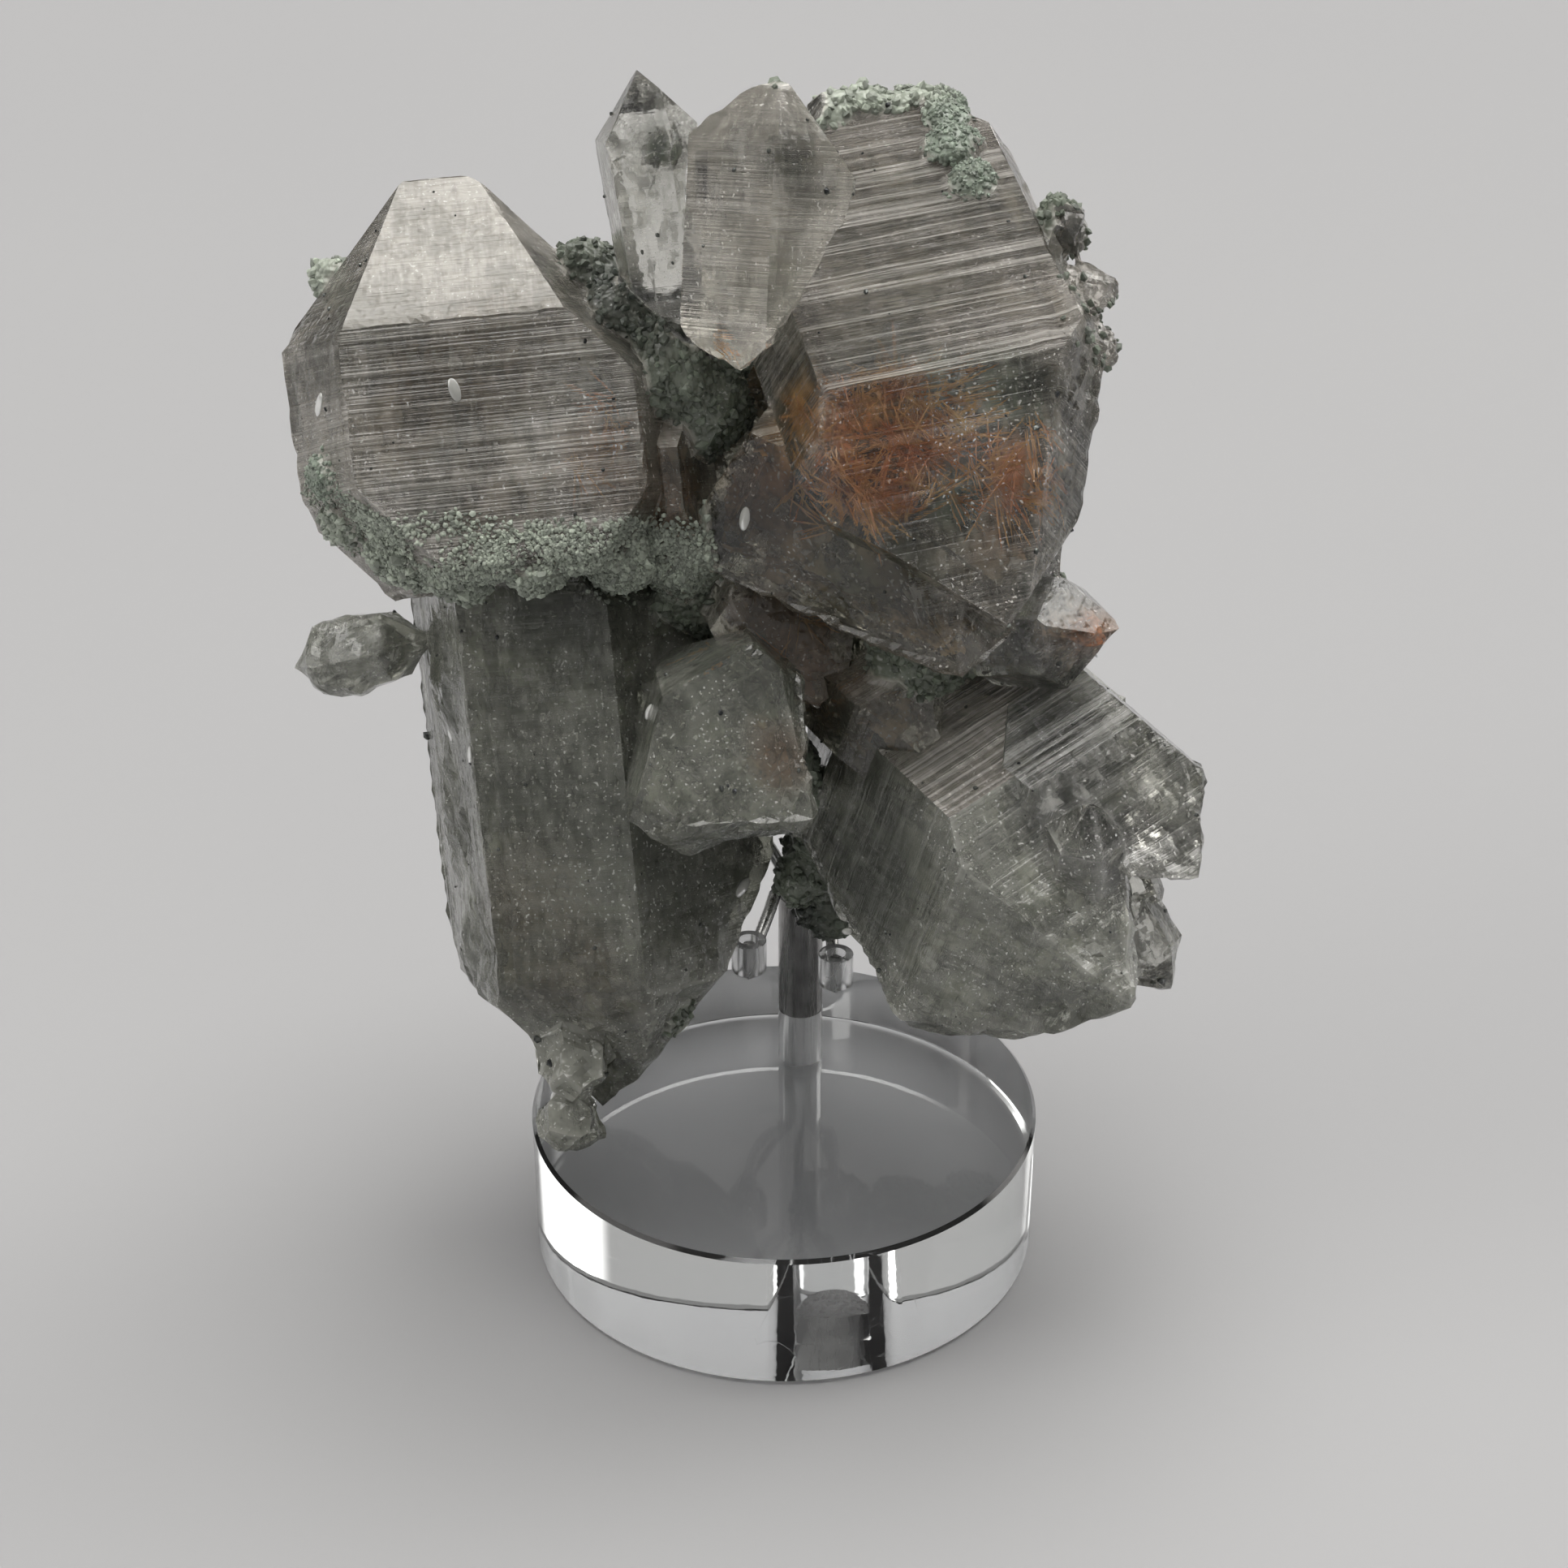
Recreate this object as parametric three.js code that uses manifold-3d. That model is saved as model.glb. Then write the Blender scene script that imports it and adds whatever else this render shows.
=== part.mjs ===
// A cluster of intergrown quartz crystals on its display stand. Millimetres, +Z up.
// The origin is the middle of the acrylic disc's underside, and the front faces -Y.
// The crystals are one solid, because they grew together. Steel wires set in the
// head of a post hold them over the disc, and two of the wires wear clear sleeves.

import * as THREE from "three";
import { mergeVertices } from "three/addons/utils/BufferGeometryUtils.js";
import Module from "manifold-3d";

const wasm = await Module();
wasm.setup();

// The disc, and the blind hole that the post stands in
const BASE_RADIUS = 35;
const BASE_HEIGHT = 20.5;
const BASE_BEVEL = 0.5;
const BASE_SIDES = 80;
const HOLE_DEPTH = 18.5;

// The post is set back in the disc, so that the cluster's weight lies over the middle.
const POST_X = 2.4;
const POST_Y = 23.9;
const POST_RADIUS = 3.2;
const POST_DEPTH = 5;
const POST_TOP = 40;
const POST_SIDES = 32;
const SOCKET_RADIUS = 2.8;
const SOCKET_DEPTH = 7;

// Five wires stand in a ring in the post's head. Two come forward and up into clear
// sleeves, and three flare out behind the crystals. Each route starts above the head.
const WIRE_RADIUS = 0.9;
const WIRE_SIDES = 8;
const WIRE_STEPS = 26;
const BUNDLE_COUNT = 5;
const BUNDLE_RADIUS = 1.72;
const WIRES = {
  wire_front_left: {
    place: 2,
    route: [
      [-0.9, 21.8, 41.6], [-1.9, 19.4, 40.2], [-3.3, 15, 38.7], [-4.5, 10.5, 38.2],
      [-4.8, 7, 38.1], [-4.8, 5, 38.5], [-4.8, 4.1, 39.8], [-4.8, 4, 44],
    ],
  },
  wire_front_right: {
    place: 3,
    route: [
      [5.7, 21.8, 41.6], [6.3, 19.4, 39.8], [6.8, 15, 37.2], [7.1, 10.5, 36],
      [7.1, 7, 35.9], [7.1, 5, 36.3], [7.1, 4.1, 37.6], [7.1, 4, 41.8],
    ],
  },
  wire_back_left: { place: 1, route: [[-0.6, 25, 44], [-4, 25.5, 50], [-9, 25, 58], [-13, 26, 66]] },
  wire_back_middle: { place: 0, route: [[2.4, 26.5, 46], [2.2, 27.5, 56], [2, 26.5, 68], [2, 24, 80]] },
  wire_back_right: { place: 4, route: [[5, 25.3, 44], [8, 27, 52], [11, 29, 60], [13, 31.5, 68]] },
};

// The clear sleeves on the ends of the front wires
const SLEEVE_RADIUS = 2.4;
const SLEEVE_BORE = 1.35;
const SLEEVE_LENGTH = 4.9;
const SLEEVE_SIDES = 28;
const SLEEVES = {
  sleeve_left: { x: -4.8, y: 4, bottom: 39.9 },
  sleeve_right: { x: 7.1, y: 4, bottom: 37.7 },
};

// Neighbours keep this far apart.
const GAP = 0.3;

// Quartz grows six prism faces around its axis. At each end, six more faces lean in,
// and their normals stand this far from the axis.
const TIP_LEAN = THREE.MathUtils.degToRad(51.8);
const SIXTH_TURN = Math.PI / 3;
const SIX_TURNS = [0, 1, 2, 3, 4, 5].map((k) => k * SIXTH_TURN);
const NO_FACE = 90;

// Each crystal has a middle, the direction of its axis and the side that its first
// prism face looks to. prism holds the distances of the six prism faces from the
// axis, and tip and foot hold how far from the middle each end face would cut the
// axis. breaks are broken or odd faces: a direction and a distance from the middle.
const CRYSTALS = {
  upperLeft: {
    at: [-36, 16, 118], axis: [-0.11, 0.45, 0.89], face: [0.09, -0.88, 0.46],
    prism: [17.7, 22.9, 14.5, 17, 20.7, 25.3],
    tip: [32, 30.5, 26.5, 26, 37.5, 41], foot: [43, 43, 40, 36, 40, 42],
    breaks: [[0.11, -0.45, -0.89, 22]],
  },
  upperLeftStep: {
    at: [-14, 8, 110], axis: [-0.11, 0.45, 0.89], face: [0.09, -0.88, 0.46],
    prism: [9, 5, 5, 8, 6, 6], tip: 16, foot: 15,
  },
  leftColumn: {
    at: [-30, 10, 68], axis: [-0.09, 0.32, 0.94], face: [-0.2, -0.93, 0.3],
    prism: [19.2, 21.9, 25.8, 16, 22, 14.5],
    tip: [66, 52, 48, 48, 52, 62], foot: [49.6, 54.7, 46.8, 44, 50, 46.3],
  },
  topLeft: {
    at: [-15, 14, 146], axis: [-0.16, 0.2, 0.97], face: [-0.3, -0.95, 0.15],
    prism: [8.3, 8.6, 5, 6, 7, 6.4],
    tip: [16.5, 18.2, 15, 15, 16, 16], foot: [22, 24, 24, 24, 22, 18],
  },
  topMiddle: {
    at: [-1, 3, 148], axis: [0.05, 0.3, 0.95], face: [-0.5, -0.87, 0.2],
    prism: [8.8, 8.2, 9.3, 7, 8, 10.8],
    tip: [19, 18.8, 16, 13, 14, 22], foot: [26.2, 30, 30, 26, 26, 27.7],
    breaks: [[0.79, 0, -0.61, 5.9], [-0.49, 0.01, -0.87, 16], [-0.05, 0.1, 0.99, 15.1]],
  },
  upperRight: {
    at: [24, 8, 122], axis: [0.25, -0.9, -0.36], face: [-0.02, -0.38, 0.92],
    prism: [12.2, 24.5, 20.9, 24, 10.4, 16.8],
    tip: [21.5, 41, 41.2, 49.8, 30.4, 23.2], foot: 58,
  },
  upperRightFlank: {
    at: [12, 12, 112], axis: [0.25, -0.9, -0.36], face: [-0.02, -0.38, 0.92],
    prism: [14.5, 30, 30, 24, 20, 20], tip: [33, 33.4, 80, 80, 50, 34], foot: 24,
    breaks: [[-0.11, 0.1, -0.99, 10.6], [-0.98, -0.2, -0.03, 23.6], [-0.9, -0.08, 0.42, 23.8]],
  },
  lowerRight: {
    at: [28, 2, 66], axis: [0.58, -0.79, -0.21], face: [-0.12, -0.34, 0.93],
    prism: [21.7, 23.7, 30, 24, 22, 22],
    tip: [39.5, 46.6, 50, 50, 50, 50], foot: 40,
    breaks: [
      [-0.97, -0.19, 0.15, 29.4], [-0.86, -0.17, -0.48, 22.7], [0.15, 0.1, -0.98, 12.8],
      [0.54, 0.08, -0.84, 11.9], [0.99, -0.1, 0.13, 16.7],
    ],
  },
  lowerRightClear: {
    at: [36, -2, 78], axis: [0.58, -0.79, -0.21], face: [-0.12, -0.34, 0.93],
    prism: [10.3, 16, 20, 20, 12, 9.6], tip: [22.9, 30, 30, 30, 30, 30], foot: 16,
    breaks: [[1, -0.1, 0, 17.6], [-0.23, 0.1, -0.97, 1.9]],
  },
  lowerMiddle: {
    at: [-8, -6, 84], axis: [0.58, -0.79, -0.21], face: [-0.12, -0.34, 0.93],
    prism: [22.2, 24.3, 14, 12, 12, 11.7], tip: [28.6, 40.9, 40, 40, 40, 24.2], foot: 16,
    breaks: [[0.14, -0.7, -0.7, 17.5], [0.99, 0.15, -0.03, 7.9], [0.1, -0.3, -0.95, 13]],
  },
  behindMiddle: {
    at: [2, 10, 98], axis: [0.25, -0.9, -0.36], face: [-0.02, -0.38, 0.92],
    prism: [9, 12, 12, 14, 12, 9], tip: [13.8, 22.7, 26, 26, 20, 17.6], foot: 20,
  },
  betweenRight: {
    at: [14, -4, 86], axis: [0.58, -0.79, -0.21], face: [-0.12, -0.34, 0.93],
    prism: [4.7, 7.9, 10, 8, 8, 7.1], tip: [7.6, 11, 20, 20, 20, 9], foot: 20,
  },
  rightStub: {
    at: [33.5, -3, 95], axis: [0.8, -0.45, 0.25], face: [0, -0.4, 0.9],
    prism: 6.4, tip: [10, 11, 9.4, 9.4, 10, 11], foot: 16,
  },
  frontUpright: {
    at: [37, -21, 73.7], axis: [0.02, -0.25, 0.97], face: [-0.2, -1, 0],
    prism: [4.2, 4.4, 4.6, 4.4, 4.6, 4.2], tip: [8.4, 9, 9, 9, 9, 8.6], foot: 12,
  },
  cornerSmall: {
    at: [46, -12, 55.5], axis: [0.5, -0.4, -0.75], face: [0, -1, 0.5],
    prism: [4.4, 4.6, 4.2, 4.6, 4.2, 4.6], tip: [8.5, 8, 8.5, 8, 8, 8.5], foot: 10,
  },
  cornerInner: {
    at: [45.5, -9, 61], axis: [0.4, -0.5, -0.75], face: [0.2, -1, 0.5],
    prism: [3.4, 3.6, 3.4, 4, 3.4, 3.2], tip: 6, foot: 7,
  },
  leftSpur: {
    at: [-58, 20.5, 80], axis: [-0.93, 0.19, -0.31], face: [-0.2, -0.6, 0.75],
    prism: [4.4, 4.6, 4.2, 4.6, 4.4, 4.8], tip: [9.4, 9.8, 9.6, 10.4, 9.8, 9.6], foot: 12,
  },
};

// Lumps of the rock and the fine crust that the crystals grew on: a place and a radius
const LUMPS = {
  rockBehind: [[-5, 26, 105, 18], [6, 22, 90, 12], [-14, 24, 88, 11]],
  darkWedge: [
    [-24.5, 21, 132.5, 5.4], [-20, 16, 129, 6.4], [-14, 10, 125.5, 6], [-10, 11, 120, 6],
    [-7, 14, 130, 6.6],
  ],
  ledge: [
    [-54, 3, 108.5, 4.2], [-47.5, -1, 105.5, 4.4], [-40, -4, 104.5, 4.2], [-31, -4, 105.5, 4.2],
    [-21, 0, 104, 4.4], [-12, 4, 103, 5],
  ],
  tufts: [[-56, 1, 114.5, 3], [24, 28, 143, 3], [22, 34.5, 145.3, 3.4], [21, 40, 147.2, 3]],
  topCrust: [
    [6, 42.5, 148, 3.4], [11, 43.5, 148, 3], [16, 44.5, 147.6, 3.4], [21, 44, 147.4, 3.2],
    [-57.5, 22, 132.5, 2.8],
  ],
  rim: [[34.8, 22, 139, 3.8], [37.6, 18, 132, 4.2], [38, 14, 126, 4]],
  foot: [[-27.5, -12.5, 37, 5.8], [-28.6, -15.4, 29.2, 5.2], [-15.6, -10.5, 43, 3.2]],
  overPost: [[2.6, 2, 56, 4], [5.5, 2, 62, 4.6], [6.8, 11, 48, 6], [8, 9, 56, 7]],
};
const LUMP_FACES = 14;
const LUMP_LEAST = 0.82;

// Smaller lumps crust the back and the underside, up to a height and clear of the
// post's head. Each is sunk by this part of its radius.
const CRUST_STEP = 11;
const CRUST_RADIUS = 5.4;
const CRUST_SINK = 0.45;
const CRUST_TOP = 118;
const CRUST_CLEAR_OF = new THREE.Vector3(1, 6, 46);
const CRUST_CLEARANCE = 22;
const CLUSTER_MIDDLE = new THREE.Vector3(-5, 5, 90);
const CLUSTER_REACH = 75;
const VIEW_FROM = new THREE.Vector3(0, -0.87, 0.49).normalize();
const SEED = 7;

function six(value) {
  return Array.isArray(value) ? value : Array(6).fill(value);
}

// A manifold solid from a closed three.js geometry
function solidFrom(geometry) {
  const bare = geometry.clone();
  bare.deleteAttribute("normal");
  bare.deleteAttribute("uv");
  const merged = mergeVertices(bare, 1e-5);
  return new wasm.Manifold(new wasm.Mesh({
    numProp: 3,
    vertProperties: new Float32Array(merged.attributes.position.array),
    triVerts: new Uint32Array(merged.index.array),
  }));
}

function geometryFrom(solid) {
  const mesh = solid.getMesh();
  const geometry = new THREE.BufferGeometry();
  geometry.setAttribute("position", new THREE.BufferAttribute(new Float32Array(mesh.vertProperties), 3));
  geometry.setIndex(new THREE.BufferAttribute(new Uint32Array(mesh.triVerts), 1));
  return geometry;
}

// What is left of a block around the centre when flat faces are cut on it
function faceted(centre, faces) {
  const block = new THREE.BoxGeometry(2 * NO_FACE, 2 * NO_FACE, 2 * NO_FACE);
  block.translate(centre.x, centre.y, centre.z);
  let solid = solidFrom(block);
  for (const { normal, distance } of faces) {
    const offset = normal.dot(centre) + distance;
    solid = solid.trimByPlane([-normal.x, -normal.y, -normal.z], -offset);
  }
  return solid;
}

function crystal({ at, axis, face, prism, tip, foot, breaks = [] }) {
  const along = new THREE.Vector3(...axis).normalize();
  const front = new THREE.Vector3(...face).projectOnPlane(along).normalize();
  const rise = Math.cos(TIP_LEAN);
  const faces = [];
  for (let k = 0; k < 6; k += 1) {
    const side = front.clone().applyAxisAngle(along, k * SIXTH_TURN);
    const upward = side.clone().multiplyScalar(Math.sin(TIP_LEAN)).addScaledVector(along, rise);
    const downward = side.clone().multiplyScalar(Math.sin(TIP_LEAN)).addScaledVector(along, -rise);
    faces.push({ normal: side, distance: six(prism)[k] });
    faces.push({ normal: upward, distance: six(tip)[k] * rise });
    faces.push({ normal: downward, distance: six(foot)[k] * rise });
  }
  for (const [x, y, z, distance] of breaks) {
    faces.push({ normal: new THREE.Vector3(x, y, z).normalize(), distance });
  }
  return faceted(new THREE.Vector3(...at), faces);
}

// The same row of numbers between 0 and 1 every time
function seededRandom(seed) {
  let state = seed;
  return () => {
    state = (state * 1664525 + 1013904223) % 4294967296;
    return state / 4294967296;
  };
}

// A broken lump, whose flat faces are spread round it on a jittered spiral
function lump(centre, radius, random) {
  const faces = [];
  const goldenAngle = Math.PI * (3 - Math.sqrt(5));
  for (let i = 0; i < LUMP_FACES; i += 1) {
    const height = 1 - 2 * (i + 0.5) / LUMP_FACES;
    const reach = Math.sqrt(1 - height * height);
    const turn = i * goldenAngle + 0.5 * random();
    const normal = new THREE.Vector3(reach * Math.cos(turn), reach * Math.sin(turn), height);
    normal.x += 0.2 * (random() - 0.5);
    normal.normalize();
    faces.push({ normal, distance: radius * (LUMP_LEAST + (1 - LUMP_LEAST) * random()) });
  }
  return faceted(centre, faces);
}

// Lumps where rays from the given side meet the crystals, hidden from the front by them
function crustFrom(crystals, side, random) {
  const skin = new THREE.MeshBasicMaterial({ side: THREE.DoubleSide });
  const target = new THREE.Mesh(geometryFrom(crystals), skin);
  const caster = new THREE.Raycaster();
  const inward = side.clone().negate();
  const across = new THREE.Vector3(1, 0, 0);
  const upward = new THREE.Vector3().crossVectors(across, inward);
  const outside = CLUSTER_MIDDLE.clone().addScaledVector(side, 2 * CLUSTER_REACH);
  const hitAt = (x, y) => {
    const from = outside.clone().addScaledVector(across, x).addScaledVector(upward, y);
    caster.set(from, inward);
    return caster.intersectObject(target)[0];
  };
  const hidden = (centre, radius, turn) => {
    const spoke = new THREE.Vector3(radius, 0, 0).applyAxisAngle(VIEW_FROM, turn);
    caster.set(centre.clone().add(spoke), VIEW_FROM);
    return caster.intersectObject(target).length > 0;
  };
  const crust = [];
  for (let column = -CLUSTER_REACH; column <= CLUSTER_REACH; column += CRUST_STEP) {
    for (let row = -CLUSTER_REACH; row <= CLUSTER_REACH; row += CRUST_STEP) {
      const x = column + CRUST_STEP * (0.7 * random() - 0.35);
      const y = row + CRUST_STEP * (0.7 * random() - 0.35);
      const radius = CRUST_RADIUS * (0.8 + 0.5 * random());
      const hit = hitAt(x, y);
      if (hit === undefined || hit.point.z > CRUST_TOP) {
        continue;
      }
      const centre = hit.point.addScaledVector(inward, CRUST_SINK * radius);
      const clear = centre.distanceTo(CRUST_CLEAR_OF) > CRUST_CLEARANCE;
      if (clear && SIX_TURNS.every((turn) => hidden(centre, radius, turn))) {
        crust.push(lump(centre, radius, random));
      }
    }
  }
  return crust;
}

function joined(solids) {
  return solids.reduce((whole, next) => whole.add(next));
}

// The solid's largest outer skin alone, with the hollows that it closes in filled
function filled(solid) {
  const skins = solid.decompose();
  return skins.reduce((best, skin) => (skin.volume() > best.volume() ? skin : best));
}

// The crystals and their rock, less the room that the stand takes up
function quartzCluster(standRoom) {
  const random = seededRandom(SEED);
  const crystals = joined(Object.values(CRYSTALS).map(crystal));
  const lumps = Object.values(LUMPS).flat().map(([x, y, z, radius]) => {
    return lump(new THREE.Vector3(x, y, z), radius, random);
  });
  const back = crustFrom(crystals, new THREE.Vector3(0, 1, 0), random);
  const underside = crustFrom(crystals, new THREE.Vector3(0, 1, -1.7).normalize(), random);
  const whole = joined([crystals, ...lumps, ...back, ...underside]);
  return geometryFrom(filled(whole.subtract(joined(standRoom))));
}

// A turned shape, upright at x, y: its profile is a row of [radius, height]
function turned(profile, sides, x, y) {
  const points = profile.map(([radius, height]) => new THREE.Vector2(radius, height));
  const geometry = new THREE.LatheGeometry(points, sides);
  geometry.rotateX(Math.PI / 2);
  geometry.translate(x, y, 0);
  return geometry;
}

function rod(radius, bottom, top, sides, x, y) {
  return turned([[0, bottom], [radius, bottom], [radius, top], [0, top]], sides, x, y);
}

function acrylicBase() {
  const rim = BASE_RADIUS - BASE_BEVEL;
  const disc = turned([
    [0, 0], [rim, 0], [BASE_RADIUS, BASE_BEVEL],
    [BASE_RADIUS, BASE_HEIGHT - BASE_BEVEL], [rim, BASE_HEIGHT], [0, BASE_HEIGHT],
  ], BASE_SIDES, 0, 0);
  const bottom = BASE_HEIGHT - HOLE_DEPTH;
  const hole = rod(POST_RADIUS + GAP, bottom, BASE_HEIGHT + 1, POST_SIDES, POST_X, POST_Y);
  return geometryFrom(solidFrom(disc).subtract(solidFrom(hole)));
}

function steelPost() {
  const bottom = BASE_HEIGHT - POST_DEPTH;
  const floor = POST_TOP - SOCKET_DEPTH;
  return turned([
    [0, bottom], [POST_RADIUS, bottom], [POST_RADIUS, POST_TOP],
    [SOCKET_RADIUS, POST_TOP], [SOCKET_RADIUS, floor], [0, floor],
  ], POST_SIDES, POST_X, POST_Y);
}

function sleeve({ x, y, bottom }) {
  const top = bottom + SLEEVE_LENGTH;
  return turned([
    [SLEEVE_BORE, bottom], [SLEEVE_RADIUS, bottom],
    [SLEEVE_RADIUS, top], [SLEEVE_BORE, top], [SLEEVE_BORE, bottom],
  ], SLEEVE_SIDES, x, y);
}

// A wire from its place in the ring in the post's head, through the points of its route
function wire({ place, route }, radius) {
  const angle = Math.PI / 2 + place * 2 * Math.PI / BUNDLE_COUNT;
  const x = POST_X + BUNDLE_RADIUS * Math.cos(angle);
  const y = POST_Y + BUNDLE_RADIUS * Math.sin(angle);
  const start = POST_TOP - SOCKET_DEPTH + GAP;
  const inHead = [start, POST_TOP - 2.5, POST_TOP].map((z) => [x, y, z]);
  const points = [...inHead, ...route].map((point) => new THREE.Vector3(...point));
  const section = new THREE.Shape();
  section.absarc(0, 0, radius, 0, 2 * Math.PI);
  return new THREE.ExtrudeGeometry(section, {
    curveSegments: WIRE_SIDES / 2, steps: WIRE_STEPS, bevelEnabled: false,
    extrudePath: new THREE.CatmullRomCurve3(points),
  });
}

// What the stand fills, with a gap all round
function standRoom() {
  const rods = [rod(POST_RADIUS + GAP, 0, POST_TOP + GAP, POST_SIDES, POST_X, POST_Y)];
  for (const spec of Object.values(WIRES)) {
    rods.push(wire(spec, WIRE_RADIUS + GAP));
  }
  for (const { x, y, bottom } of Object.values(SLEEVES)) {
    const top = bottom + SLEEVE_LENGTH + GAP;
    rods.push(rod(SLEEVE_RADIUS + GAP, bottom - GAP, top, SLEEVE_SIDES, x, y));
  }
  return rods.map(solidFrom);
}

const specimen = new THREE.Group();

function add(name, geometry, color, roughness, metalness) {
  const mesh = new THREE.Mesh(geometry, new THREE.MeshStandardMaterial({ color, roughness, metalness }));
  mesh.name = name;
  specimen.add(mesh);
}

add("acrylic_base", acrylicBase(), 0xe4e6e6, 0.05, 0);
add("steel_post", steelPost(), 0x9a9c9d, 0.25, 1);
for (const [name, spec] of Object.entries(WIRES)) {
  add(name, wire(spec, WIRE_RADIUS), 0xa3a4a2, 0.3, 1);
}
for (const [name, spec] of Object.entries(SLEEVES)) {
  add(name, sleeve(spec), 0xd6dadb, 0.15, 0);
}
add("quartz_cluster", quartzCluster(standRoom()), 0x9aa394, 0.2, 0);

export default specimen;
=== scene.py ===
"""The looks of a rutilated quartz specimen on its stand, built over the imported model."""

import math

import bmesh
import bpy
import numpy as np
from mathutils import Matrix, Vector
from mathutils.bvhtree import BVHTree


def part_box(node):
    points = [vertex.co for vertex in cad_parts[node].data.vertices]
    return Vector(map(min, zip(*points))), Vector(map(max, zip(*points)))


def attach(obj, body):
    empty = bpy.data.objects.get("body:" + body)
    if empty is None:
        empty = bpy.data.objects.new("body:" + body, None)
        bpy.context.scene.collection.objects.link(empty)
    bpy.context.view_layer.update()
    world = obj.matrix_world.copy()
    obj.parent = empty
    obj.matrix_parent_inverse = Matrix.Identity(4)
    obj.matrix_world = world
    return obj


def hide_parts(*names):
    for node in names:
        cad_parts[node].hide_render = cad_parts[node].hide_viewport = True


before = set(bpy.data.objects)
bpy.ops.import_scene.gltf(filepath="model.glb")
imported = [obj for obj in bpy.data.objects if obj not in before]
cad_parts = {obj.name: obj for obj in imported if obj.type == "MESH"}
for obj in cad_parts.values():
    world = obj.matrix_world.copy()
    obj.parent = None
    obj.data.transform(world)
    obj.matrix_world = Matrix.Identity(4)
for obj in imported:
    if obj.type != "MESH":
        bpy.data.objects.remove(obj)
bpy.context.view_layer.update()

# The shapes are made in millimetres, as in the part's source, and Blender gets metres.
MM = 0.001
SEED = 7
rng = np.random.default_rng(SEED)

# The photograph's camera: a pinhole above the front, looking down a little
CAMERA_AT = (0, -0.33177, 0.26030)
CAMERA_TILT = math.radians(90 - 29.647)
CAMERA_LENS = 67.08
CAMERA_SENSOR = 36

QUARTZ_IOR = 1.544
ACRYLIC_IOR = 1.49

# How each crystal looks: clear is how much light passes, dust how much pale dust lies on it,
# stripes how deep the growth lines across it are, ribs how high those along it are,
# frost_and_top_light how much paler and duller its upward faces are, which is partly frost and
# partly a painted top light and sheen, heart what clouds it holds, and tint its body colour. Its
# place, axis and front face tell which facets are its own.
GREEN_GREY = (0.50, 0.51, 0.44)
PALE_GREEN = (0.68, 0.69, 0.62)
WARM_GREY = (0.72, 0.68, 0.61)
CLEAR_GREY = (0.95, 0.94, 0.91)
CLEAR_WARM = (0.94, 0.895, 0.83)
# The clouds inside: their dark, their pale, and how much they hide
OLIVE = ((0.03, 0.037, 0.025), (0.26, 0.28, 0.21), 0.95)
HALF_OLIVE = ((0.05, 0.056, 0.04), (0.40, 0.41, 0.34), 0.7)
UMBER = ((0.075, 0.055, 0.03), (0.30, 0.23, 0.145), 0.85)
SMOKE = ((0.09, 0.082, 0.062), (0.38, 0.355, 0.30), 0.62)
FAINT = ((0.14, 0.13, 0.11), (0.5, 0.47, 0.42), 0.08)
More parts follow.
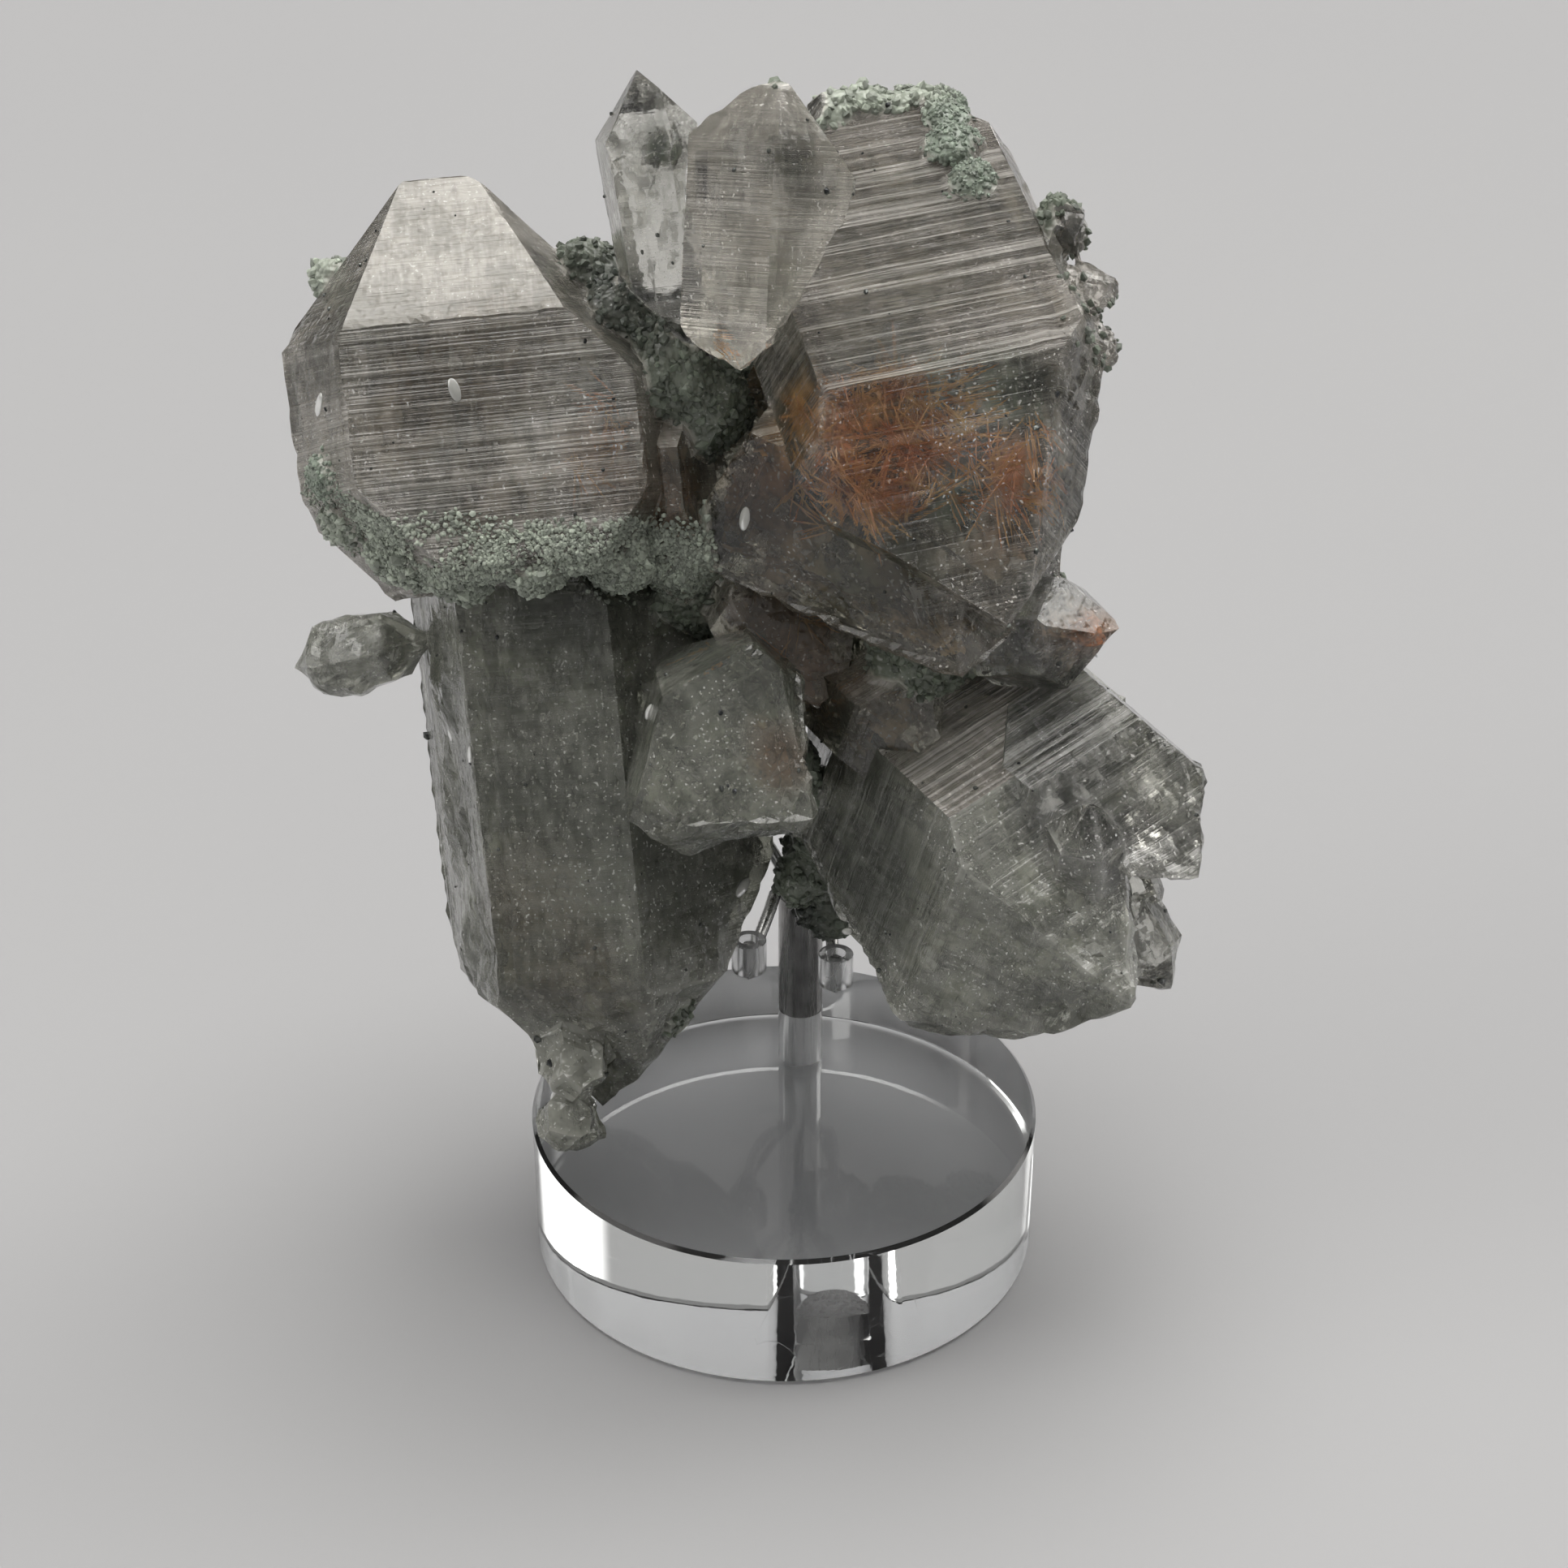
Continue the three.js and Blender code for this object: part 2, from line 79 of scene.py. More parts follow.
# Crystals that lie the same way share an axis and a front face.
LEFT_WAY = dict(axis=(-0.11, 0.45, 0.89), face=(0.09, -0.88, 0.46))
UPPER_WAY = dict(axis=(0.25, -0.9, -0.36), face=(-0.02, -0.38, 0.92))
LOWER_WAY = dict(axis=(0.58, -0.79, -0.21), face=(-0.12, -0.34, 0.93))
CRYSTALS = {
    "upperLeft": dict(
        ribs=0.3, frost_and_top_light=0.26, at=(-36, 16, 118), **LEFT_WAY, size=30, clear=0.88, dust=0.28, stripes=1.3,
        heart=SMOKE, tint=WARM_GREY,
    ),
    "upperLeftStep": dict(
        at=(-14, 8, 110), **LEFT_WAY, size=10, clear=0.88, dust=0.2, stripes=0.3, heart=UMBER,
        tint=WARM_GREY,
    ),
    "leftColumn": dict(
        ribs=0.5, at=(-30, 10, 68), axis=(-0.09, 0.32, 0.94), face=(-0.2, -0.93, 0.3), size=34, clear=0.86,
        dust=0.3, stripes=0.3, heart=OLIVE, tint=GREEN_GREY,
    ),
    "topLeft": dict(
        at=(-15, 14, 146), axis=(-0.16, 0.2, 0.97), face=(-0.3, -0.95, 0.15), size=10, clear=0.98,
        dust=0.05, stripes=0.2, heart=FAINT, tint=CLEAR_GREY,
    ),
    "topMiddle": dict(
        ribs=0.15, at=(-1, 3, 148), axis=(0.05, 0.3, 0.95), face=(-0.5, -0.87, 0.2), size=12, clear=0.95,
        dust=0.08, stripes=1.0, heart=FAINT, tint=CLEAR_WARM,
    ),
    "upperRight": dict(
        at=(24, 8, 122), **UPPER_WAY, size=32, clear=0.97, dust=0.05, stripes=1.1, heart=SMOKE,
        tint=CLEAR_WARM,
    ),
    "upperRightFlank": dict(
        ribs=0.25, at=(12, 12, 112), **UPPER_WAY, size=24, clear=0.97, dust=0.05, stripes=0.2, heart=UMBER,
        tint=WARM_GREY,
    ),
    "lowerRight": dict(
        ribs=0.3, at=(28, 2, 66), **LOWER_WAY, size=32, clear=0.88, dust=0.2, stripes=1.0,
        heart=HALF_OLIVE, tint=PALE_GREEN,
    ),
    "lowerRightClear": dict(
        at=(36, -2, 78), **LOWER_WAY, size=18, clear=0.96, dust=0.08, stripes=0.7, heart=FAINT,
        tint=CLEAR_GREY,
    ),
    "lowerMiddle": dict(
        ribs=0.2, at=(-8, -6, 84), **LOWER_WAY, size=22, clear=0.88, dust=0.2, stripes=0.2, heart=OLIVE,
        tint=GREEN_GREY,
    ),
    "behindMiddle": dict(
        at=(2, 10, 98), **UPPER_WAY, size=14, clear=0.8, dust=0.15, stripes=0.3, heart=UMBER,
        tint=WARM_GREY,
    ),
    "betweenRight": dict(
        at=(14, -4, 86), **LOWER_WAY, size=9, clear=0.88, dust=0.15, stripes=0.3, heart=UMBER,
        tint=WARM_GREY,
    ),
    "rightStub": dict(
        at=(33.5, -3, 95), axis=(0.8, -0.45, 0.25), face=(0, -0.4, 0.9), size=8, clear=0.93, dust=0.12,
        stripes=0.1, heart=SMOKE, tint=CLEAR_GREY,
    ),
    "frontUpright": dict(
        at=(37, -21, 73.7), axis=(0.02, -0.25, 0.97), face=(-0.2, -1, 0), size=7, clear=0.92, dust=0.2,
        stripes=0.3, heart=HALF_OLIVE, tint=PALE_GREEN,
    ),
    "cornerSmall": dict(
        at=(46, -12, 55.5), axis=(0.5, -0.4, -0.75), face=(0, -1, 0.5), size=7, clear=0.96, dust=0.1,
        stripes=0.1, heart=FAINT, tint=CLEAR_GREY,
    ),
    "cornerInner": dict(
        at=(45.5, -9, 61), axis=(0.4, -0.5, -0.75), face=(0.2, -1, 0.5), size=6, clear=0.95, dust=0.1,
        stripes=0.1, heart=FAINT, tint=CLEAR_GREY,
    ),
    "leftSpur": dict(
        at=(-58, 20.5, 80), axis=(-0.93, 0.19, -0.31), face=(-0.2, -0.6, 0.75), size=7, clear=0.85,
        dust=0.22, stripes=0.15, heart=HALF_OLIVE, tint=PALE_GREEN,
    ),
}
STRIPED_TINT = (0.72, 0.66, 0.60)
PRISM_LEAN = math.cos(math.radians(51.8))
MATCH = math.radians(2.5)

# Stains inside the quartz, and a painted shade high on the left column: a colour, a place, how far it
# reaches, and how strong it is
BROWN = (0.30, 0.165, 0.08)
DEEP_BROWN = (0.12, 0.07, 0.033)
DULL_BROWN = (0.20, 0.15, 0.095)
RUST = (0.68, 0.26, 0.06)
GOLD = (0.85, 0.52, 0.19)
DARK_GREEN = (0.055, 0.075, 0.052)
CLOUD_GREEN = (0.21, 0.25, 0.19)
STAINS_AND_COLUMN_SHADE = [
    (DULL_BROWN, (-43.9, 1.5, 130.1), 7, 0.8), (DULL_BROWN, (-34.1, 3.2, 131.6), 9, 0.6),
    (DULL_BROWN, (-45.8, -3.2, 121.5), 7, 0.5), (DULL_BROWN, (-34.2, -5.8, 114.1), 7, 0.35),
    (BROWN, (-21.4, -2.1, 118.9), 8, 0.5), (BROWN, (-14, 2, 112), 8, 0.7),
    (DULL_BROWN, (-16, 0, 122), 7, 0.6), (DULL_BROWN, (-27.9, -16.4, 51.3), 9, 0.5),
    (DULL_BROWN, (-31.9, -11.4, 64.3), 7, 0.3), (DULL_BROWN, (-38.5, -10.3, 58.6), 6, 0.4),
    (BROWN, (-0.6, -23.1, 88.7), 5, 0.7), (DEEP_BROWN, (-1.6, -2, 95.7), 8, 0.8),
    (BROWN, (4.5, -4.4, 90), 7, 0.7), (DEEP_BROWN, (3, -6.8, 78), 6, 0.6),
    (BROWN, (38.5, -8.7, 97.9), 6, 0.9), (RUST, (39, -7, 97), 4, 0.7),
    (DEEP_BROWN, (-1.6, -4, 111.1), 7, 0.9), (DEEP_BROWN, (1.9, -5.7, 115.5), 6, 0.8),
    (BROWN, (-4, -2, 117), 6, 0.8), (GOLD, (0.9, -3.2, 123.6), 6, 0.8), (RUST, (9.1, -7.9, 125), 7, 0.85),
    (GOLD, (11, -8, 124), 4, 0.7), (RUST, (13.9, -9.2, 121), 7, 0.8), (GOLD, (13, -5.4, 128.7), 5, 0.5),
    (RUST, (7.2, -11.8, 118.9), 6, 0.8), (RUST, (27.7, -8.5, 119.5), 5, 0.8),
    (BROWN, (26.7, -11.6, 114), 5, 0.6), (DEEP_BROWN, (24.7, -14.1, 110.9), 4, 0.5),
    (CLOUD_GREEN, (20.8, -11.3, 116.6), 5, 0.9), (CLOUD_GREEN, (26.7, -2.9, 129.3), 6, 0.8),
    (DARK_GREEN, (31.6, -3, 127.7), 4, 0.6), (DARK_GREEN, (14.4, -15.6, 110), 6, 0.5),
    (CLOUD_GREEN, (19, -4, 130), 5, 0.6), (CLOUD_GREEN, (6, -9, 106), 6, 0.4),
    # The dark green at (-24, 4, 96), (-44, 2, 82) and (-22, -14, 72) darkens the left column towards its top:
    # partly dark green stain and partly a painted shade.
    (DARK_GREEN, (-24, 4, 96), 14, 0.45), (DARK_GREEN, (-12, -8, 60), 11, 0.45),
    (DARK_GREEN, (-4, -18, 78), 9, 0.4), (DARK_GREEN, (22, -16, 56), 10, 0.35),
    (DARK_GREEN, (-44, 2, 82), 9, 0.3), (DARK_GREEN, (-22, -14, 72), 14, 0.35),
    (DARK_GREEN, (6, -14, 66), 12, 0.5), (DARK_GREEN, (-15.3, 8.2, 155.2), 2.6, 0.9),
    (DARK_GREEN, (2.3, -2.7, 156), 4, 0.6), (DARK_GREEN, (4, -1, 152), 4, 0.5),
]

# Where the quartz is clear whatever its crystal, with many bright cracks: a place and a reach
CLEAR_ZONES = [((43, -14, 80), 15), ((46, -13, 56), 9)]

# Where it is broken and knobbly whatever its crystal
BROKEN_ZONES = [
    ((38, -24, 62), 12), ((24, -24, 44), 13), ((38, -16, 48), 12), ((12, -22, 46), 9), ((-48, 8, 84), 9),
    ((-58, 19, 82), 8), ((-47, 4, 64), 10), ((-41, -4, 50), 9), ((-20, -16, 42), 9), ((-8, -14, 52), 8),
    ((40, 4, 130), 10),
]

# The foot at the lower left, which is blocky: its middle and its reach
FOOT = ((-30, -13, 36), 17)

# A facet smaller than this that fits no crystal is rock or crust, but here it is quartz:
# the foot at the lower left, and the broken knobs on the right edge.
CRUST_FACET = 70
QUARTZ_KNOBS = [FOOT, ((46, 10, 135), 16), ((50, 5, 118), 16), ((44, -10, 58), 12)]
# The visible skin's longest edge
SKIN_EDGE = 1.6


# Colours of the crust, and where each one is
SAGE = (0.26, 0.31, 0.25)
PALE_CRUST = (0.37, 0.41, 0.34)
BLACK_GREEN = (0.035, 0.045, 0.035)
ROCK_GREEN = (0.13, 0.155, 0.115)
CRUST_TONES = [
    (BLACK_GREEN, (-19, 8, 136), 15), (ROCK_GREEN, (-10, 6, 118), 16), (BLACK_GREEN, (2, 12, 46), 10),
    (PALE_CRUST, (12, 43, 149), 16), (PALE_CRUST, (-50, -4, 110), 14), (PALE_CRUST, (-32, -8, 108), 16),
    (PALE_CRUST, (-57, 20, 133), 8), (SAGE, (24.5, 27, 143), 7), (SAGE, (22, 36, 147), 7),
    (SAGE, (-56.5, -0.5, 115.5), 5), (SAGE, (26, 43, 149), 6), (PALE_CRUST, (-14, -2, 105), 10),
]


def unit(v):
    v = np.asarray(v, float)
    return v / np.linalg.norm(v, axis=-1, keepdims=True)


def hashed(cells, seed):
    """A number from 0 to 1 for each whole-number cell."""
    n = (cells[..., 0] * 73856093) ^ (cells[..., 1] * 19349663) ^ (cells[..., 2] * 83492791)
    n = (n ^ (seed * 2654435761)) & 0x7FFFFFFF
    n = (n * 1103515245 + 12345) & 0x7FFFFFFF
    n ^= n >> 13
    n = (n * 1597334677) & 0x7FFFFFFF
    return (n & 0xFFFFFF) / 0xFFFFFF


def field(points, size, seed=0, octaves=3):
    """Smooth noise from about -1 to 1, whose coarsest bumps are size apart."""
    total, weight = np.zeros(len(points)), 0
    for k in range(octaves):
        p = points / (size / 2**k) + 17.3 * k + 1000
        cell = np.floor(p).astype(np.int64)
        t = p - cell
        t = t * t * (3 - 2 * t)
        value = 0
        for corner in np.ndindex(2, 2, 2):
            share = np.prod(np.where(corner, t, 1 - t), axis=1)
            value = value + share * hashed(cell + corner, seed + k)
        total += (value * 2 - 1) / 2**k
        weight += 1 / 2**k
    return total / weight


def step(low, high, x):
    t = np.clip((x - low) / (high - low), 0, 1)
    return t * t * (3 - 2 * t)


def toned(places, base, tones, seed):
    colour = np.tile(np.array(base, float), (len(places), 1))
    for tone, middle, reach in tones:
        s = step(1.2, 0.5, np.linalg.norm(places - middle, axis=1) / reach + 0.3 * field(places, 5, seed, 2))
        colour = colour * (1 - s[:, None]) + np.array(tone) * s[:, None]
    return colour


def mesh_object(name, points, faces, material, smooth=True):
    """A piece from points in millimetres."""
    mesh = bpy.data.meshes.new(name)
    mesh.from_pydata((np.asarray(points, float) * MM).tolist(), [], [list(map(int, f)) for f in faces])
    mesh.materials.append(material)
    mesh.shade_smooth() if smooth else mesh.shade_flat()
    piece = bpy.data.objects.new(name, mesh)
    bpy.context.scene.collection.objects.link(piece)
    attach(piece, "root")
    return piece


def paint(piece, name, values, domain="CORNER"):
    """Stores one colour or vector a corner, point or face, for the material to read."""
    attribute = piece.data.attributes.new(name, "FLOAT_COLOR", domain)
    data = np.ones((len(attribute.data), 4), np.float32)
    data[:, : values.shape[1]] = values
    attribute.data.foreach_set("color", data.ravel())


# The quartz skin


def cad_shape(node):
    """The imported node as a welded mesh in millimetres."""
    shape = bmesh.new()
    shape.from_mesh(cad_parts[node].data)
    bmesh.ops.scale(shape, vec=(1 / MM,) * 3, verts=shape.verts)
    bmesh.ops.remove_doubles(shape, verts=shape.verts, dist=0.002)
    bmesh.ops.triangulate(shape, faces=shape.faces)
    shape.normal_update()
    return shape


def label_facets(shape):
    """Numbers each flat facet, and returns its area, normal and middle."""
    label = shape.faces.layers.int.new("facet")
    flat = math.cos(math.radians(0.8))
    count = 0
    facets = []
    for start in shape.faces:
        if start[label]:
            continue
        count += 1
        start[label] = count
        stack, area, normal, middle = [start], 0, Vector(), Vector()
        while stack:
            face = stack.pop()
            size = face.calc_area()
            area += size
            normal += face.normal * size
            middle += face.calc_center_median() * size
            for edge in face.edges:
                for other in edge.link_faces:
                    if not other[label] and other.normal.dot(start.normal) > flat:
                        other[label] = count
                        stack.append(other)
        facets.append((area, normal.normalized(), middle / max(area, 1e-9)))
    return label, facets


def refine(points, triangles, labels, longest):
    """Halves every edge that is too long, until none is, and keeps each triangle's label."""
    while True:
        ends = np.sort(triangles[:, [[0, 1], [1, 2], [2, 0]]].reshape(-1, 2), axis=1)
        edges, edge_of = np.unique(ends, axis=0, return_inverse=True)
        a, b = points[edges[:, 0]], points[edges[:, 1]]
        too_long = np.linalg.norm(a - b, axis=1) > longest
        if not too_long.any():
            return points, triangles, labels
        middle = np.full(len(edges), -1)
        middle[too_long] = len(points) + np.arange(too_long.sum())
        points = np.vstack([points, (a[too_long] + b[too_long]) / 2])
        halves = middle[edge_of.reshape(-1)].reshape(-1, 3)
        split = halves >= 0
        count = split.sum(1)
        # Turns each triangle so that a single split edge comes first and a single whole one last
        turn = np.where(count == 1, split.argmax(1), np.where(count == 2, (split.argmin(1) + 1) % 3, 0))
        order = (turn[:, None] + np.arange(3)) % 3
        corner = np.take_along_axis(triangles, order, 1)
        half = np.take_along_axis(halves, order, 1)
        (p, q, r), (u, v, w) = corner.T, half.T
        one, two, three = count == 1, count == 2, count == 3
        short = np.linalg.norm(points[p] - points[v], axis=1) < np.linalg.norm(points[u] - points[r], axis=1)
        cuts = [
            (count == 0, (p, q, r)), (one, (p, u, r)), (one, (u, q, r)), (two, (u, q, v)),
            (two & short, (p, u, v)), (two & short, (p, v, r)), (two & ~short, (p, u, r)),
            (two & ~short, (u, v, r)), (three, (p, u, w)), (three, (u, q, v)), (three, (w, v, r)),
            (three, (u, v, w)),
        ]
        triangles = np.vstack([np.stack(c, 1)[rows] for rows, c in cuts])
        labels = np.concatenate([labels[rows] for rows, _ in cuts])


def crystal_of(area, normal, middle):
    """The crystal that a facet belongs to, and whether it is a prism, tip, broken or crust face."""
    best, kind, least = None, "", 1e9
    for name, c in CRYSTALS.items():
        axis = unit(c["axis"])
        out = np.array(c["face"], float)
        out = unit(out - axis * (out @ axis))
        lean = abs(normal @ axis)
        side = normal - axis * (normal @ axis)
        angle = math.atan2(side @ np.cross(axis, out), side @ out) % (math.pi / 3)
        turned = min(angle, math.pi / 3 - angle) < MATCH
        away = np.linalg.norm(middle - c["at"]) / c["size"]
        if turned and lean < 0.045:
            found = "prism"
        elif turned and abs(lean - PRISM_LEAN) < 0.035:
            found = "tip"
        else:
            found = "broken"
            away += 1.2
        if away < least:
            best, kind, least = name, found, away
    knob = any(np.linalg.norm(middle - place) < reach for place, reach in QUARTZ_KNOBS)
    if kind == "broken" and area < CRUST_FACET and not knob:
        kind = "crust"
    return best, kind


skin = cad_shape("quartz_cluster")
facet_layer, facets = label_facets(skin)
inner = [
    e for e in skin.edges
    if len(e.link_faces) == 2 and e.link_faces[0][facet_layer] == e.link_faces[1][facet_layer]
]
bmesh.ops.beautify_fill(skin, faces=skin.faces, edges=inner, method="ANGLE")
skin.verts.index_update()
points = np.array([v.co for v in skin.verts])
triangles = np.array([[v.index for v in f.verts] for f in skin.faces])
facet_of = np.array([f[facet_layer] for f in skin.faces]) - 1
skin.free()
points, triangles, facet_of = refine(points, triangles, facet_of, SKIN_EDGE)

matched = [crystal_of(a, np.array(n), np.array(m)) for a, n, m in facets]
names = np.array([m[0] for m in matched])[facet_of]
kinds = np.array([m[1] for m in matched])[facet_of]


def to_points(values):
    """The mean of a value per triangle at each point."""
    total, count = np.zeros(len(points)), np.zeros(len(points))
    for k in range(3):
        np.add.at(total, triangles[:, k], values)
        np.add.at(count, triangles[:, k], 1)
    return total / np.maximum(count, 1)


def normals_of(points):
    a, b, c = (points[triangles[:, k]] for k in range(3))
    face = np.cross(b - a, c - a)
    out = np.zeros_like(points)
    for k in range(3):
        np.add.at(out, triangles[:, k], face)
    return out / np.maximum(np.linalg.norm(out, axis=1, keepdims=True), 1e-12)


crust = to_points((kinds == "crust").astype(float))
broken = to_points((kinds == "broken").astype(float))
outward = normals_of(points)
# A point between two facets has more than one facet number around it.
spread = to_points((facet_of + 1) ** 2) - to_points(facet_of + 1) ** 2
edge = np.minimum(spread, 1) * (1 - crust)


def away_from(place, reach):
    """How far each point is from a place, as a share of the reach."""
    return np.linalg.norm(points - place, axis=1) / reach


wavy = 0.35 * field(points, 7, 13, 2)
wrecked = np.max([step(1.2, 0.6, away_from(m, r) + wavy) for m, r in BROKEN_ZONES], axis=0)
broken = np.maximum(broken, wrecked * (1 - crust))


def smoothed(points, weights, rounds):
    """Draws each point towards the middle of its neighbours, by its weight."""
    ends = np.vstack([triangles[:, [0, 1]], triangles[:, [1, 2]], triangles[:, [2, 0]]])
    count = np.bincount(ends[:, 0], minlength=len(points))[:, None]
    for _ in range(rounds):
        total = np.zeros_like(points)
        np.add.at(total, ends[:, 0], points[ends[:, 1]])
        points = points + (total / count - points) * weights[:, None]
    return points


knob_faces = np.array([k == "broken" and a < 2 * CRUST_FACET for (a, _, _), (_, k) in zip(facets, matched)])
knobs = to_points(knob_faces[facet_of].astype(float))
foot = step(1.1, 0.8, away_from(*FOOT))
points = smoothed(points, 0.6 * np.maximum(crust, knobs) * (1 - foot), 8)
outward = normals_of(points)

facet_normals = np.array([np.array(n) for _, n, _ in facets])
facet_axes = unit(np.array([CRYSTALS[m[0]]["axis"] for m in matched]))
across = np.cross(facet_normals, facet_axes)
across /= np.maximum(np.linalg.norm(across, axis=1, keepdims=True), 1e-6)
own_facet = np.zeros(len(points), int)
own_facet[triangles.ravel()] = np.repeat(facet_of, 3)
own_ribs = np.array([CRYSTALS[m[0]].get("ribs", 0) * (m[1] == "prism") for m in matched])[own_facet]
rib_places = np.stack([
    (points * across[own_facet]).sum(1), (points * facet_axes[own_facet]).sum(1) * 0.09, own_facet * 9.0,
], 1)
ribs = own_ribs * np.round(field(rib_places, 5, 8, 3) * 4) / 4
rough = field(points, 5, 1, 4) * 0.9 + np.abs(field(points, 2.6, 2, 2)) * 0.7
ridges = np.abs(field(points, 11, 3, 4)) * 2.8 + np.abs(field(points, 4.2, 5, 3)) * 1.5
relief = crust * (rough - 0.2) + broken * (1.5 * (1 - knobs) + 0.3 * foot - ridges)
relief = relief + (1 - crust) * field(points, 14, 4, 2) * 0.16
chipped = edge * np.maximum(field(points, 4, 6, 3), 0) * 0.9
relief = relief - chipped + ribs + 0.9 * knobs * (1 - foot) + 0.5 * crust
points = points + outward * (relief - 0.12)[:, None]
low, high = (np.array(c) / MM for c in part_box("quartz_cluster"))
points = np.clip(points, low, high)


def stained_and_shaded(places):
    """The colour of the stains and of the painted shade on the left column times its share, and that share,
    at places in millimetres.
    """
    colour, share = np.zeros((len(places), 3)), np.zeros(len(places))
    for stain, middle, reach, strength in STAINS_AND_COLUMN_SHADE:
        away = np.linalg.norm(places - middle, axis=1) / reach
        away = away + field(places, 6, 9, 3) * 0.6
        s = strength * step(1.3, 0.2, away)
        colour = colour * (1 - s[:, None]) + np.array(stain) * s[:, None]
        share = share * (1 - s) + s
    return colour, share


corner = triangles.ravel()
corner_facet = np.repeat(facet_of, 3)
corner_points = points[corner]
grain = np.stack([
    (corner_points * across[corner_facet]).sum(1),
    (corner_points * facet_axes[corner_facet]).sum(1),
    (corner_facet * 7.31) % 97,
], 1)


def per_facet(key):
    return np.array([CRYSTALS[m[0]][key] for m in matched], float)


is_kind = {k: np.array([m[1] == k for m in matched], float) for k in ("prism", "tip", "broken", "crust")}
# Faces that look up are made paler and duller: partly frost, and partly a painted top light and sheen.
up = step(0.75, 0.9, facet_normals[:, 2])
facet_clear = per_facet("clear") * (1 - 0.12 * is_kind["broken"]) * (1 - is_kind["crust"])
frost_and_top_light = np.array([CRYSTALS[m[0]].get("frost_and_top_light", 0.06) for m in matched])
frost_and_top_light = frost_and_top_light * up * (is_kind["prism"] + is_kind["tip"])
facet_clear *= 1 - frost_and_top_light
facet_stripes = per_facet("stripes") * (is_kind["prism"] * (0.3 + 0.7 * up) + 0.15 * is_kind["tip"])
facet_dust_and_top_light = np.clip(per_facet("dust") + frost_and_top_light, 0, 1)
cloud = (field(points, 13, 12, 5) + 1) / 2
clearing = np.max([step(1.25, 0.7, away_from(m, r)) for m, r in CLEAR_ZONES], axis=0)
crust_corner, edge_corner, zone = crust[corner], edge[corner], clearing[corner]
# The dust in the looks also holds the painted top light on the upward faces.
looks = np.stack([
    (facet_clear[corner_facet] * (1 - zone) + 0.97 * zone) * (1 - crust_corner),
    facet_stripes[corner_facet] * (1 - crust_corner),
    np.clip(facet_dust_and_top_light[corner_facet] * (1 - 0.8 * zone) + 0.22 * edge_corner * (cloud[corner] > 0.5), 0, 1),
    cloud[corner],
], 1)
tints = np.array([CRYSTALS[m[0]]["tint"] for m in matched])[corner_facet]
tints = tints * (1 - zone[:, None]) + np.array(CLEAR_GREY) * zone[:, None]
striped_top = (up * is_kind["prism"] * (per_facet("stripes") > 0.9))[corner_facet, None]
tints = tints * (1 - striped_top) + np.array(STRIPED_TINT) * striped_top
# The stains, with the painted shade high on the left column, tint the skin.
stain, share = stained_and_shaded(points)
solid = (1 - per_facet("clear")[corner_facet])[:, None] * 1.6
corner_share = share[corner, None]
corner_stain = stain[corner] / np.maximum(corner_share, 1e-6)
tint = tints + (corner_stain - tints) * np.minimum(corner_share * (0.7 + solid), 1)
crust_colour = toned(points, ROCK_GREEN, CRUST_TONES, 31) * (1 + 0.5 * field(points, 3, 11, 3)[:, None])
tint = tint * (1 - crust_corner[:, None]) + crust_colour[corner] * crust_corner[:, None]

# Materials


